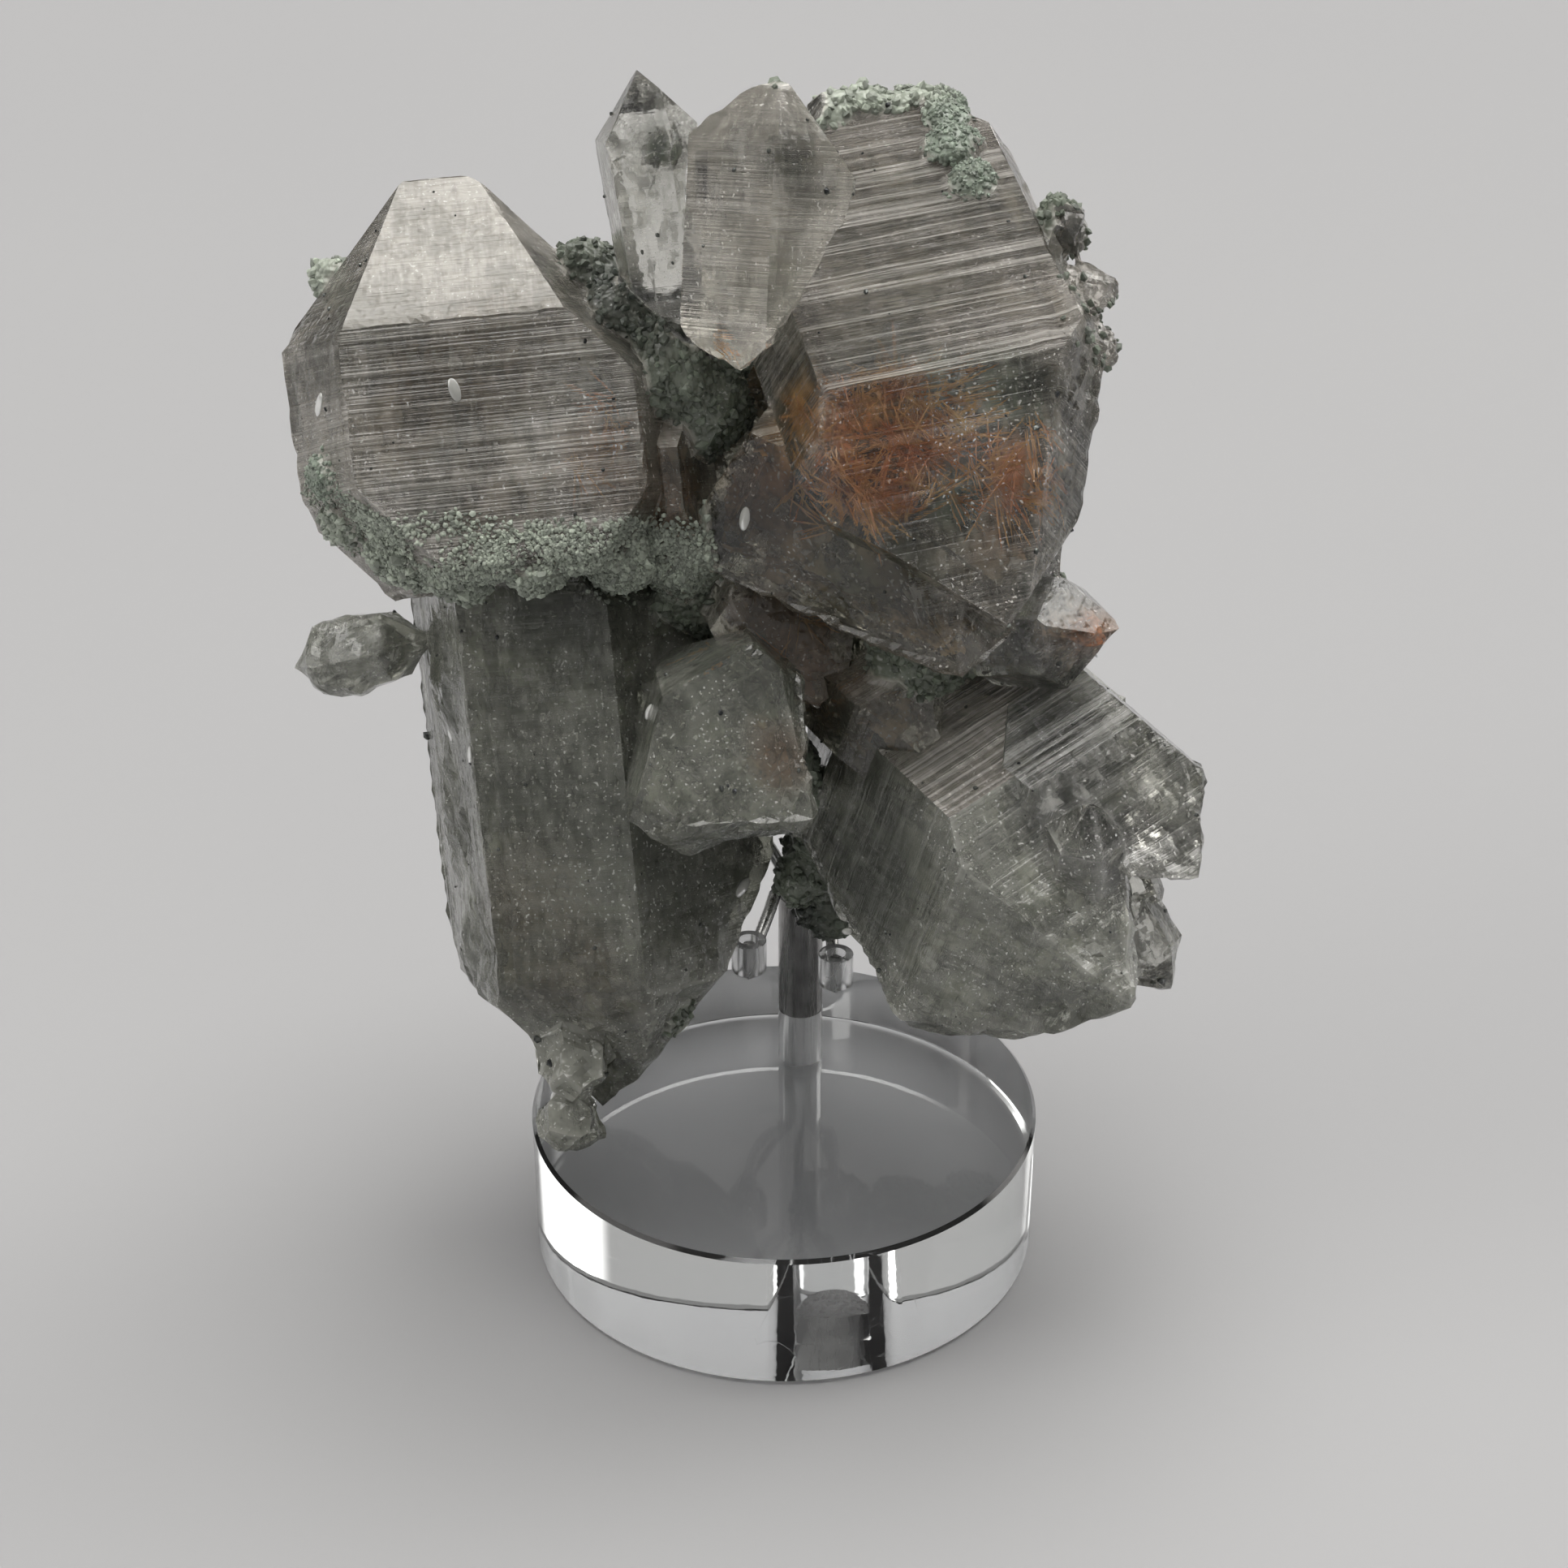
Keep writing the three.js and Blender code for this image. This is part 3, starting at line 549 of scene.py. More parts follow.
class Nodes:
    """Short names for the material nodes that this script uses."""

    def __init__(self, name):
        self.material = bpy.data.materials.new(name)
        self.material.use_nodes = True
        self.tree = self.material.node_tree
        self.tree.nodes.clear()
        self.output = self.add("ShaderNodeOutputMaterial")

    def add(self, kind, inputs=None, **settings):
        node = self.tree.nodes.new(kind)
        for key, value in settings.items():
            setattr(node, key, value)
        for key, value in (inputs or {}).items():
            self.set(node.inputs[key], value)
        return node

    def set(self, socket, value):
        if isinstance(value, bpy.types.NodeSocket):
            self.tree.links.new(value, socket)
        elif isinstance(value, (tuple, list)) and len(value) == 3 and socket.type == "RGBA":
            socket.default_value = (*value, 1)
        else:
            socket.default_value = value

    def math(self, operation, a, b=0.0, clamp=False):
        node = self.add("ShaderNodeMath", {0: a, 1: b}, operation=operation, use_clamp=clamp)
        return node.outputs[0]

    def mix(self, share, a, b, blend="MIX"):
        node = self.add("ShaderNodeMix", data_type="RGBA", blend_type=blend)
        self.set(node.inputs["Factor"], share)
        self.set(node.inputs[6], a)
        self.set(node.inputs[7], b)
        return node.outputs[2]

    def noise(self, scale, vector=None, detail=4.0, rough=0.5, kind="3D"):
        node = self.add("ShaderNodeTexNoise", {"Scale": scale, "Detail": detail, "Roughness": rough},
                        noise_dimensions=kind)
        if vector is not None:
            self.set(node.inputs["Vector"], vector)
        return node.outputs["Fac"]

    def cells(self, scale, vector=None, feature="F1", output="Distance"):
        node = self.add("ShaderNodeTexVoronoi", {"Scale": scale}, feature=feature)
        if vector is not None:
            self.set(node.inputs["Vector"], vector)
        return node.outputs[output]

    def ramp(self, value, low, high, to_low=0.0, to_high=1.0):
        node = self.add("ShaderNodeMapRange", {
            "Value": value, "From Min": low, "From Max": high, "To Min": to_low, "To Max": to_high,
        }, interpolation_type="SMOOTHSTEP")
        return node.outputs[0]

    def attribute(self, name, output="Color"):
        return self.add("ShaderNodeAttribute", attribute_name=name).outputs[output]

    def split(self, colour):
        node = self.add("ShaderNodeSeparateColor", {"Color": colour})
        return node.outputs

    def place(self):
        return self.add("ShaderNodeTexCoord").outputs["Object"]

    def scaled(self, vector, scale):
        return self.add("ShaderNodeMapping", {"Vector": vector, "Scale": scale}).outputs[0]

    def bump(self, height, distance, strength=1.0, normal=None):
        node = self.add("ShaderNodeBump", {"Height": height, "Distance": distance, "Strength": strength})
        if normal is not None:
            self.set(node.inputs["Normal"], normal)
        return node.outputs[0]

    def surface(self, **inputs):
        keys = {k.replace("_", " "): v for k, v in inputs.items()}
        node = self.add("ShaderNodeBsdfPrincipled", keys)
        self.tree.links.new(node.outputs[0], self.output.inputs["Surface"])
        return node

    def absorb(self, colour, density):
        node = self.add("ShaderNodeVolumeAbsorption", {"Color": colour, "Density": density})
        self.tree.links.new(node.outputs[0], self.output.inputs["Volume"])


def quartz_material():
    n = Nodes("quartz")
    place = n.place()
    looks_node = n.add("ShaderNodeAttribute", attribute_name="looks")
    looks = n.split(looks_node.outputs["Color"])
    clear, stripes, dust, cloud = looks["Red"], looks["Green"], looks["Blue"], looks_node.outputs["Alpha"]
    grain = n.attribute("grain")

    # Growth lines run across the prism, from a few tenths of a millimetre to 2 mm apart.
    broad = n.noise(1.0, n.scaled(grain, (0.015, 0.75, 1)), 1.0, 0.7)
    fine = n.noise(1.0, n.scaled(grain, (0.03, 3.4, 1)), 2.0, 0.6)
    lines = n.math("ADD", n.math("MULTIPLY", fine, 0.45), n.math("MULTIPLY", broad, 0.55))

    # Clouds of dust and chlorite just under the faces, drawn out along the crystal
    drawn = n.noise(1.0, n.scaled(grain, (0.9, 0.2, 1)), 2.0, 0.75)
    wisps = n.noise(420, place, 2.0, 0.7)
    mottle = n.math("ADD", n.math("MULTIPLY", cloud, 0.4), n.math("MULTIPLY", drawn, 0.3))
    mottle = n.math("ADD", mottle, n.math("MULTIPLY", wisps, 0.3))
    veil = n.ramp(mottle, 0.44, 0.60)
    specks = n.ramp(n.noise(2600, place, 0.0), 0.72, 0.77)
    specks = n.math("MULTIPLY", specks, n.ramp(mottle, 0.44, 0.54))
    lined = n.math("MULTIPLY", stripes, n.ramp(lines, 0.48, 0.60))
    # The dust channel also carries the painted top light on upward faces, and the haze turns it paler.
    even = n.add("ShaderNodeMix", {"Factor": dust, 2: veil, 3: 1.0}).outputs[0]
    haze = n.math("MULTIPLY", dust, even)
    haze = n.math("ADD", haze, n.math("MULTIPLY", lined, 0.7), clamp=True)

    body = n.attribute("tint")
    shaded = n.mix(n.ramp(mottle, 0.40, 0.56, 0.4, 0.0), body, (0.20, 0.21, 0.17))
    shaded = n.mix(n.math("MULTIPLY", haze, 0.6), shaded, (0.60, 0.59, 0.555))
    speckled = n.math("MULTIPLY", specks, n.math("ADD", 0.25, dust), clamp=True)
    shaded = n.mix(speckled, shaded, (0.72, 0.73, 0.69))

    passing = n.math("MULTIPLY", clear, n.math("SUBTRACT", 1.0, n.math("MULTIPLY", haze, 0.75)))
    passing = n.math("MULTIPLY", passing, n.math("SUBTRACT", 1.0, n.math("MULTIPLY", specks, 0.6)))
    roughness = n.math("ADD", 0.015, n.math("MULTIPLY", n.math("SUBTRACT", 1.0, clear), 0.22))
    roughness = n.math("ADD", roughness, n.math("MULTIPLY", haze, 0.25), clamp=True)

    rough = n.math("SUBTRACT", 1.1, n.math("MULTIPLY", clear, 0.95))
    lined_height = n.math("MULTIPLY", lines, n.math("MULTIPLY", stripes, 2.0))
    height = n.math("ADD", lined_height, n.math("MULTIPLY", wisps, rough))
    n.surface(Base_Color=shaded, Roughness=roughness, IOR=QUARTZ_IOR, Transmission_Weight=passing,
              Normal=n.bump(height, 0.001))
    n.absorb((0.76, 0.76, 0.64), 20)
    return n.material


quartz = mesh_object("quartz_crystals", points, triangles, quartz_material())
paint(quartz, "looks", looks)
paint(quartz, "tint", np.clip(tint, 0, 1))
paint(quartz, "grain", grain)
quartz.data.set_sharp_from_angle(angle=math.radians(14))
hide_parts("quartz_cluster")

tree = BVHTree.FromPolygons(points.tolist(), triangles.tolist())


def inside(place, depth):
    """Whether a place in millimetres is at least depth under the skin."""
    spot, normal, _, _ = tree.find_nearest(Vector(place))
    return (Vector(place) - spot).dot(normal) < -depth


def scattered(weights, count):
    """Random places on the skin's triangles, more where the weights are higher."""
    a, b, c = (points[triangles[:, k]] for k in range(3))
    area = np.linalg.norm(np.cross(b - a, c - a), axis=1) * weights
    chosen = rng.choice(len(triangles), count, p=area / area.sum())
    u, v = rng.random((2, count, 1))
    over = u + v > 1
    u, v = np.where(over, 1 - u, u), np.where(over, 1 - v, v)
    return a[chosen] * (1 - u - v) + b[chosen] * u + c[chosen] * v, chosen


# Veils of dust and clouds inside the crystals, a few millimetres under their faces


def veil_material():
    n = Nodes("veils")
    place = n.place()
    tint = n.add("ShaderNodeAttribute", attribute_name="tint")
    wisps = n.noise(230, place, 3.0, 0.74)
    coarse = n.noise(90, place, 1.0, 0.6)
    specks = n.ramp(n.noise(1900, place, 0.0), 0.70, 0.76)
    colour = n.mix(n.ramp(wisps, 0.36, 0.64), (0.42, 0.42, 0.40), (1.75, 1.75, 1.7))
    colour = n.mix(1.0, tint.outputs["Color"], colour, "MULTIPLY")
    colour = n.mix(specks, colour, (0.62, 0.62, 0.56))
    thick = n.ramp(n.math("ADD", n.math("MULTIPLY", wisps, 0.6), n.math("MULTIPLY", coarse, 0.4)), 0.34, 0.60)
    alpha = n.math("MULTIPLY", tint.outputs["Alpha"], n.math("ADD", 0.3, thick), clamp=True)
    n.surface(Base_Color=colour, Roughness=0.5, Alpha=alpha)
    return n.material


def veils(name, depth, seed):
    """A broken sheet at about this depth, with the clouds that each crystal holds."""
    depth = depth * (1 + 0.6 * field(points, 16, seed, 2))
    deep = points - outward * depth[:, None]
    dark, pale, hides = (
        np.stack([to_points(values) for values in np.atleast_2d(np.array(part).T)[:, facet_of]], 1)
        for part in zip(*(CRYSTALS[m[0]]["heart"] for m in matched))
    )
    patchy = 1 + 0.9 * field(points, 9, seed + 1, 3)
    thick = np.clip(hides[:, 0] * (1 - 0.7 * clearing) * patchy + share, 0, 1)
    whole = (thick > 0.08) & (crust < 0.01) & (edge < 0.3)
    used, index = np.unique(triangles[whole[triangles].all(1)], return_inverse=True)
    ok = np.array([inside(p, 0.6) for p in deep[used]])
    faces = index.reshape(-1, 3)
    veil = mesh_object(name, deep[used], faces[ok[faces].all(1)], veil_material())
    lit = step(-0.35, 0.45, field(points[used], 8, seed + 2, 4))[:, None]
    tint = dark[used] * (1 - lit) + pale[used] * lit
    tint = tint + (stain[used] / np.maximum(share[used, None], 1e-6) - tint) * share[used, None]
    paint(veil, "tint", np.clip(np.hstack([tint, thick[used, None]]), 0, 1), "POINT")


veils("inner_clouds", 3.4, 27)

# Healed cracks inside the crystals, which flash as they catch the light
CRACKS = 260
CRACK_SIDES = 14


def cracks():
    vertices, faces = [], []
    glassy = (crust < 0.01)[triangles].all(1) * (1 + 6 * clearing[triangles].mean(1))
    places, chosen = scattered(glassy, CRACKS * 4)
    made = 0
    for place, triangle in zip(places, chosen):
        radius = rng.uniform(1.2, 5.0)
        normal = outward[triangles[triangle, 0]]
        middle = place - normal * rng.uniform(0.8 + radius * 0.5, 3 + radius)
        facing = unit(normal + rng.normal(0, 0.55, 3))
        side = unit(np.cross(facing, rng.normal(0, 1, 3)))
        other = np.cross(facing, side)
        sizes = radius * rng.uniform(0.55, 1.1, CRACK_SIDES)
        turn = np.arange(CRACK_SIDES) * math.tau / CRACK_SIDES
        oval = side * np.cos(turn)[:, None] * 1.3 + other * np.sin(turn)[:, None] * 0.7
        rim = middle + oval * sizes[:, None]
        rim = rim + facing * (rng.normal(0, 0.12, CRACK_SIDES) * radius)[:, None]
        if made == CRACKS or not all(inside(p, 0.3) for p in (*rim[::3], middle)):
            continue
        made += 1
        first = len(vertices)
        vertices += [middle, *rim]
        faces += [(first, first + 1 + k, first + 1 + (k + 1) % CRACK_SIDES) for k in range(CRACK_SIDES)]
    n = Nodes("cracks")
    patches = n.noise(500, n.place(), 2.0, 0.7)
    n.surface(Base_Color=(0.9, 0.9, 0.88), Roughness=0.12, Alpha=n.ramp(patches, 0.42, 0.60, 0.05, 0.8))
    piece = mesh_object("healed_cracks", vertices, faces, n.material)


cracks()

# Grains of chlorite that crust the rock and stand in tufts

GOLDEN = (1 + math.sqrt(5)) / 2
BALL = unit([
    (s * a, t * b, 0) if k == 0 else (0, s * a, t * b) if k == 1 else (t * b, 0, s * a)
    for k in range(3) for a, b in ((1, GOLDEN),) for s in (-1, 1) for t in (-1, 1)
])


def ball_faces():
    """The twenty faces of the ball, each turned outward."""
    faces = []
    near = 1.1
    for i in range(12):
        for j in range(i + 1, 12):
            for k in range(j + 1, 12):
                a, b, c = BALL[[i, j, k]]
                if max(np.linalg.norm(a - b), np.linalg.norm(b - c), np.linalg.norm(a - c)) < near:
                    faces.append((i, j, k) if np.cross(b - a, c - a) @ a > 0 else (i, k, j))
    return np.array(faces)


BALL_FACES = ball_faces()


def turned(count):
    """Random turns as matrices."""
    q = unit(rng.normal(0, 1, (count, 4)))
    w, x, y, z = q.T
    return np.stack([
        1 - 2 * (y * y + z * z), 2 * (x * y - z * w), 2 * (x * z + y * w),
        2 * (x * y + z * w), 1 - 2 * (x * x + z * z), 2 * (y * z - x * w),
        2 * (x * z - y * w), 2 * (y * z + x * w), 1 - 2 * (x * x + y * y),
    ], 1).reshape(-1, 3, 3)


def grains(places, sizes, knobbly=0.3):
    """One rough grain at each place."""
    count = len(places)
    balls = BALL * (1 + rng.uniform(-knobbly, knobbly, (count, 12, 1)))
    balls = balls * (rng.uniform(0.6, 1.2, (count, 1, 3)))
    balls = np.einsum("nij,nkj->nki", turned(count), balls) * sizes[:, None, None]
    vertices = (balls + places[:, None, :]).reshape(-1, 3)
    faces = (BALL_FACES[None] + 12 * np.arange(count)[:, None, None]).reshape(-1, 3)
    return vertices, faces


def grain_material(name, roughness, metal=0.0):
    n = Nodes(name)
    place = n.place()
    pale = n.ramp(n.noise(900, place, 3.0), 0.35, 0.65, 0.0, 0.35)
    colour = n.mix(pale, n.attribute("tone"), (0.32, 0.34, 0.30))
    n.surface(Base_Color=colour, Roughness=roughness, Metallic=metal,
              Normal=n.bump(n.noise(2400, place, 1.0), 0.0001, 0.7))
    return n.material


# The fine pale crust along the bottom of the upper left crystal, and where it reaches
BAND = [
    (-55, 0, 110), (-50, -4, 107), (-45, -6, 106.5), (-39, -8, 106.5), (-33, -8, 106), (-27, -8, 105.5),
    (-21, -5, 105), (-15, -1, 103),
]
BAND_REACH = 8


def crust_grains(name, weights, count, smallest, largest):
    places, chosen = scattered(weights, count)
    sizes = rng.uniform(smallest, largest, count) * (1 - 0.5 * fine[chosen])
    vertices, faces = grains(places, sizes)
    tone = toned(places, ROCK_GREEN, CRUST_TONES, 31) * rng.uniform(0.45, 1.5, (count, 1))
    low, high = (np.array(c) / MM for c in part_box("quartz_cluster"))
    piece = mesh_object(name, np.clip(vertices, low, high), faces, grain_material(name, 0.42), False)
    paint(piece, "tone", np.clip(np.repeat(tone, 12, 0), 0, 1), "POINT")


middles = points[triangles].mean(1)


def near(places, reach):
    return step(1.0, 0.5, np.min([np.linalg.norm(middles - m, axis=1) for m in places], axis=0) / reach)


fine = near([m for t, m, r in CRUST_TONES if t == SAGE], 7)
band = near(BAND, BAND_REACH) * step(-0.5, 0.4, field(middles, 4, 33, 3))
crusted = crust[triangles].mean(1)
right_knobs = near([QUARTZ_KNOBS[1][0]], 16) * (1 - crusted) * (field(middles, 5, 35, 2) > 0.1)
crust_grains("chlorite_grains", crusted * (1 + 4 * fine) + 0.5 * right_knobs, 9600, 0.28, 0.8)
crust_grains("pale_band_grains", band, 9000, 0.12, 0.42)

# Black grains that sit on the faces

BLACK = (0.03, 0.032, 0.035)
# Where the larger ones are, and how large each is
BLACK_SPOTS = [
    ((-49.3, 21.5, 66.8), 0.7), ((-31.4, -15.4, 37.7), 0.75), ((-33, -13, 39.5), 0.6),
    ((-7.4, -27.4, 86.4), 0.35), ((-5.9, -27.2, 85.9), 0.35), ((-6.6, -27.3, 86.9), 0.3),
    ((48.6, -16.3, 51.9), 0.75), ((47.9, -16, 51.4), 0.5), ((10, 9, 137), 0.4), ((-41, 20, 142), 0.2),
    ((-45, 21, 142.5), 0.15), ((-44, 24, 143.4), 0.2), ((-52, 14, 137), 0.4), ((31, -9, 126), 0.5),
    ((36, -13, 92), 0.45), ((14, 41, 149.5), 0.6), ((20, 40, 149), 0.5), ((5, -2, 152), 0.55),
    ((31.6, -14.8, 112), 0.45), ((27, -18, 103), 0.4), ((3, -20, 60), 0.5),
]
SMALL_BLACK = 190


def black_grains():
    fronts = np.array([matched[f][1] != "crust" for f in facet_of]) * (facet_normals[facet_of, 1] < 0.3)
    places, _ = scattered(fronts.astype(float), SMALL_BLACK)
    listed = [tuple(tree.find_nearest(Vector(place))[0]) for place, _ in BLACK_SPOTS]
    places = np.vstack([places, np.array(listed)])
    sizes = np.concatenate([rng.uniform(0.12, 0.38, SMALL_BLACK), [size for _, size in BLACK_SPOTS]])
    material = grain_material("black_grains", 0.2, 0.6)
    piece = mesh_object("black_grains", *grains(places, sizes, 0.2), material, False)
    paint(piece, "tone", np.tile(np.array(BLACK), (12 * len(places), 1)), "POINT")


black_grains()

# Small flat chips and bubbles that show on the faces: a place, two radii, how far they
# stand out and the turn of the longer one
CHIPS = [
    ((-4.9, -2.1, 110.3), (1.7, 0.75), 0.25, 1.4), ((-16.8, -13.1, 89.2), (1.15, 0.7), 0.5, 1.5),
    ((-5.5, -1.4, 56.3), (1.8, 0.9), 0.5, 0.4), ((-40, 0, 126.5), (1.5, 0.7), 0.25, 1.9),
    ((-31.1, -14.5, 33), (1.6, 1.2), 0.6, 0.6), ((2.6, -21, 62), (0.7, 0.45), 0.5, 0.2),
    ((-56, 4, 123), (1.7, 0.8), 0.3, 1.3), ((-33, 10, 76), (1.6, 0.9), 0.3, 1.2),
    ((-43, -5, 78), (1.5, 0.8), 0.3, 1.4),
]
CHIP_SIDES, CHIP_RINGS = 18, 5


def chips():
    vertices, faces = [], []
    for place, (longer, shorter), height, turn in CHIPS:
        spot, normal, _, _ = tree.find_nearest(Vector(place))
        side = normal.cross(Vector((0, 0, 1))).normalized()
        upright = normal.cross(side)
        first = len(vertices)
        for ring in range(CHIP_RINGS):
            lean = ring / CHIP_RINGS * math.pi / 2
            for k in range(CHIP_SIDES):
                angle = k * math.tau / CHIP_SIDES
                x, y = longer * math.cos(angle) * math.cos(lean), shorter * math.sin(angle) * math.cos(lean)
                u, v = x * math.cos(turn) - y * math.sin(turn), x * math.sin(turn) + y * math.cos(turn)
                vertices.append(spot + side * u + upright * v + normal * (height * math.sin(lean) - 0.05))
        top, bottom = len(vertices), len(vertices) + 1
        vertices += [spot + normal * height, spot - normal * 0.4]
        for k in range(CHIP_SIDES):
            j = (k + 1) % CHIP_SIDES
            for ring in range(CHIP_RINGS - 1):
                low = first + ring * CHIP_SIDES
                faces.append([low + k, low + CHIP_SIDES + k, low + CHIP_SIDES + j, low + j])
            last = first + (CHIP_RINGS - 1) * CHIP_SIDES
            faces += [[last + k, top, last + j], [first + j, bottom, first + k]]
    n = Nodes("chips")
    colour = n.mix(n.noise(700, n.place()), (0.62, 0.63, 0.58), (0.88, 0.88, 0.85))
    n.surface(Base_Color=colour, Roughness=0.12, IOR=QUARTZ_IOR, Transmission_Weight=0.45)
    piece = mesh_object("chips", vertices, faces, n.material)


chips()

# Rutile needles

NEEDLE_SIDES = 4
# Where the needles are under the faces: a place, a reach, the fans there, and the longest needle
FANS = [
    ((9.1, -7.9, 125.6), 3, 8, 13), ((13.9, -9.2, 122), 4, 9, 12), ((13, -5.4, 128.7), 4, 8, 12),
    ((17.8, -10.7, 118.4), 3, 5, 9), ((7.2, -11.8, 118.9), 3, 8, 10), ((27.7, -8.5, 119.5), 4, 8, 9),
    ((26.7, -11.6, 114.6), 4, 4, 8), ((20, -8, 124), 4, 5, 9), ((1.9, -5.7, 117), 4, 5, 7),
    ((1, -3.2, 123.6), 2, 3, 6), ((-10.1, -6.4, 136.2), 3, 3, 6), ((-21.4, -2.1, 118.9), 5, 4, 7),
    ((-0.6, -2.4, 94.7), 5, 3, 6),
]
NEEDLES_A_FAN = 11
SHORTEST_NEEDLE = 1.5


def needle(start, direction, length, radius):
    """A thin prism that narrows at both ends."""
    along = Vector(direction).normalized()
    side = along.orthogonal().normalized()
    other = along.cross(side)
    rings = []
    for at, thick in ((0, 0.5), (0.5, 1), (0.85, 0.8)):
        middle = Vector(start) + along * (length * at)
        rings += [
            middle + (side * math.cos(a) + other * math.sin(a)) * radius * thick
            for a in (k * math.tau / NEEDLE_SIDES for k in range(NEEDLE_SIDES))
        ]
    rings.append(Vector(start) + along * length)
    faces = [list(range(NEEDLE_SIDES))[::-1]]
    for ring in (0, 1):
        for k in range(NEEDLE_SIDES):
            a, b = ring * NEEDLE_SIDES + k, ring * NEEDLE_SIDES + (k + 1) % NEEDLE_SIDES
            faces.append([a, b, b + NEEDLE_SIDES, a + NEEDLE_SIDES])
    faces += [[2 * NEEDLE_SIDES + k, 2 * NEEDLE_SIDES + (k + 1) % NEEDLE_SIDES, 3 * NEEDLE_SIDES]
              for k in range(NEEDLE_SIDES)]
    return [tuple(p) for p in rings], faces


def needles():
    vertices, faces = [], []
    for place, reach, fans, longest in FANS:
        for _ in range(fans):
            spot, normal, _, _ = tree.find_nearest(Vector(place + rng.normal(0, reach * 0.6, 3)))
            normal = np.array(normal)
            heart = np.array(spot) - normal * rng.uniform(0.7, 3)
            main = rng.normal(0, 1, 3)
            main = unit(main - normal * (main @ normal))
            for _ in range(NEEDLES_A_FAN):
                direction = main + rng.normal(0, 0.5, 3)
                direction = unit(direction - normal * (direction @ normal) * 0.75)
                start = heart + rng.normal(0, 0.5, 3)
                length = longest * rng.uniform(0.35, 1)
                while length > SHORTEST_NEEDLE and not all(
                    inside(start + direction * length * k, 0.4) for k in (0, 0.5, 1)
                ):
                    length *= 0.75
                if length <= SHORTEST_NEEDLE:
                    continue
                more, cells = needle(start, direction, length, rng.uniform(0.06, 0.17))
                faces += [[i + len(vertices) for i in f] for f in cells]
                vertices += more
    return vertices, faces


def rutile_material():
    n = Nodes("rutile")
    hue = n.noise(260, n.place(), 2.0)
    colour = n.mix(n.ramp(hue, 0.35, 0.65), (0.72, 0.24, 0.05), (1.0, 0.60, 0.20))
    n.surface(Base_Color=colour, Roughness=0.25, IOR=2.6)
    return n.material


fans = mesh_object("rutile_needles", *needles(), rutile_material(), smooth=False)

# The clear disc, the post, the wires and the sleeves


def lathe(profile, sides, middle=(0, 0)):
    """A turned shape from (radius, height) pairs, whose ends lie on the axis or meet."""
    ring = [(math.cos(k * math.tau / sides), math.sin(k * math.tau / sides)) for k in range(sides)]
    vertices, rows = [], []
    for radius, height in profile:
        if radius == 0:
            rows.append([len(vertices)])
            vertices.append((middle[0], middle[1], height))
            continue
        rows.append(list(range(len(vertices), len(vertices) + sides)))
        vertices += [(middle[0] + c * radius, middle[1] + s * radius, height) for c, s in ring]
    faces = []
    for low, high in zip(rows, rows[1:]):
        for k in range(sides):
            a, b = low[k % len(low)], low[(k + 1) % len(low)]
            c, d = high[(k + 1) % len(high)], high[k % len(high)]
            faces.append([i for j, i in enumerate((a, b, c, d)) if i not in (a, b, c, d)[:j]])
    return vertices, faces


BASE_RADIUS, BASE_HEIGHT, BASE_BEVEL, HOLE_FLOOR, HOLE_GAP = 35, 20.5, 0.5, 2, 0.05
POST_X, POST_Y, POST_RADIUS, POST_FOOT, POST_TOP = 2.4, 23.9, 3.2, 15.5, 40


def acrylic_material(name="clear_acrylic", cloudy=0.0):
    n = Nodes(name)
    place = n.place()
    scratches = n.math("LESS_THAN", n.cells(60, n.scaled(place, (1, 8, 1)), "DISTANCE_TO_EDGE"), 0.002)
    smears = n.ramp(n.noise(45, place, 5.0), 0.55, 0.75)
    roughness = n.math("ADD", 0.01 + cloudy * 0.3, n.math("MULTIPLY", smears, 0.05))
    roughness = n.math("ADD", roughness, n.math("MULTIPLY", scratches, 0.15))
    colour = n.mix(smears, (0.98, 0.985, 0.99), (0.95, 0.96, 0.97))
    n.surface(Base_Color=colour, Roughness=roughness, IOR=ACRYLIC_IOR,
              Transmission_Weight=1.0 - cloudy * 0.35, Normal=n.bump(n.noise(220, place, 3.0), 0.00002, 0.3))
    n.absorb((0.80, 0.86, 0.86), 3.0)
    return n.material


def disc_with_hole():
    """The disc: a lathed side, a flat top with the post's blind hole and a flat bottom."""
    shape = bmesh.new()

    def ring(radius, height, sides, x=0, y=0):
        turns = [k * math.tau / sides for k in range(sides)]
        return [shape.verts.new((x + radius * math.cos(a), y + radius * math.sin(a), height)) for a in turns]

    sides, hole_sides = 256, 64
    rings = [ring(radius, height, sides) for radius, height in (
        (BASE_RADIUS - BASE_BEVEL, 0), (BASE_RADIUS, BASE_BEVEL), (BASE_RADIUS, BASE_HEIGHT - BASE_BEVEL),
        (BASE_RADIUS - BASE_BEVEL, BASE_HEIGHT),
    )]
    inner = [
        ring(POST_RADIUS + HOLE_GAP, height, hole_sides, POST_X, POST_Y)
        for height in (BASE_HEIGHT, HOLE_FLOOR)
    ]
    for low, high in zip(rings, rings[1:]):
        for k in range(sides):
            shape.faces.new((low[k], low[(k + 1) % sides], high[(k + 1) % sides], high[k])).smooth = True
    for k in range(hole_sides):
        shape.faces.new((inner[0][k], inner[0][(k + 1) % hole_sides], inner[1][(k + 1) % hole_sides],
                         inner[1][k])).smooth = True
    shape.faces.new(rings[0][::-1])
    shape.faces.new(inner[1])
    edges = [e for e in shape.edges if e.is_boundary]
    bmesh.ops.triangle_fill(shape, edges=edges, use_beauty=True, normal=(0, 0, 1))
    bmesh.ops.recalc_face_normals(shape, faces=shape.faces)
    vertices = [tuple(v.co) for v in shape.verts]
    shape.verts.index_update()
    faces = [[v.index for v in f.verts] for f in shape.faces]
    shape.free()
    return vertices, faces


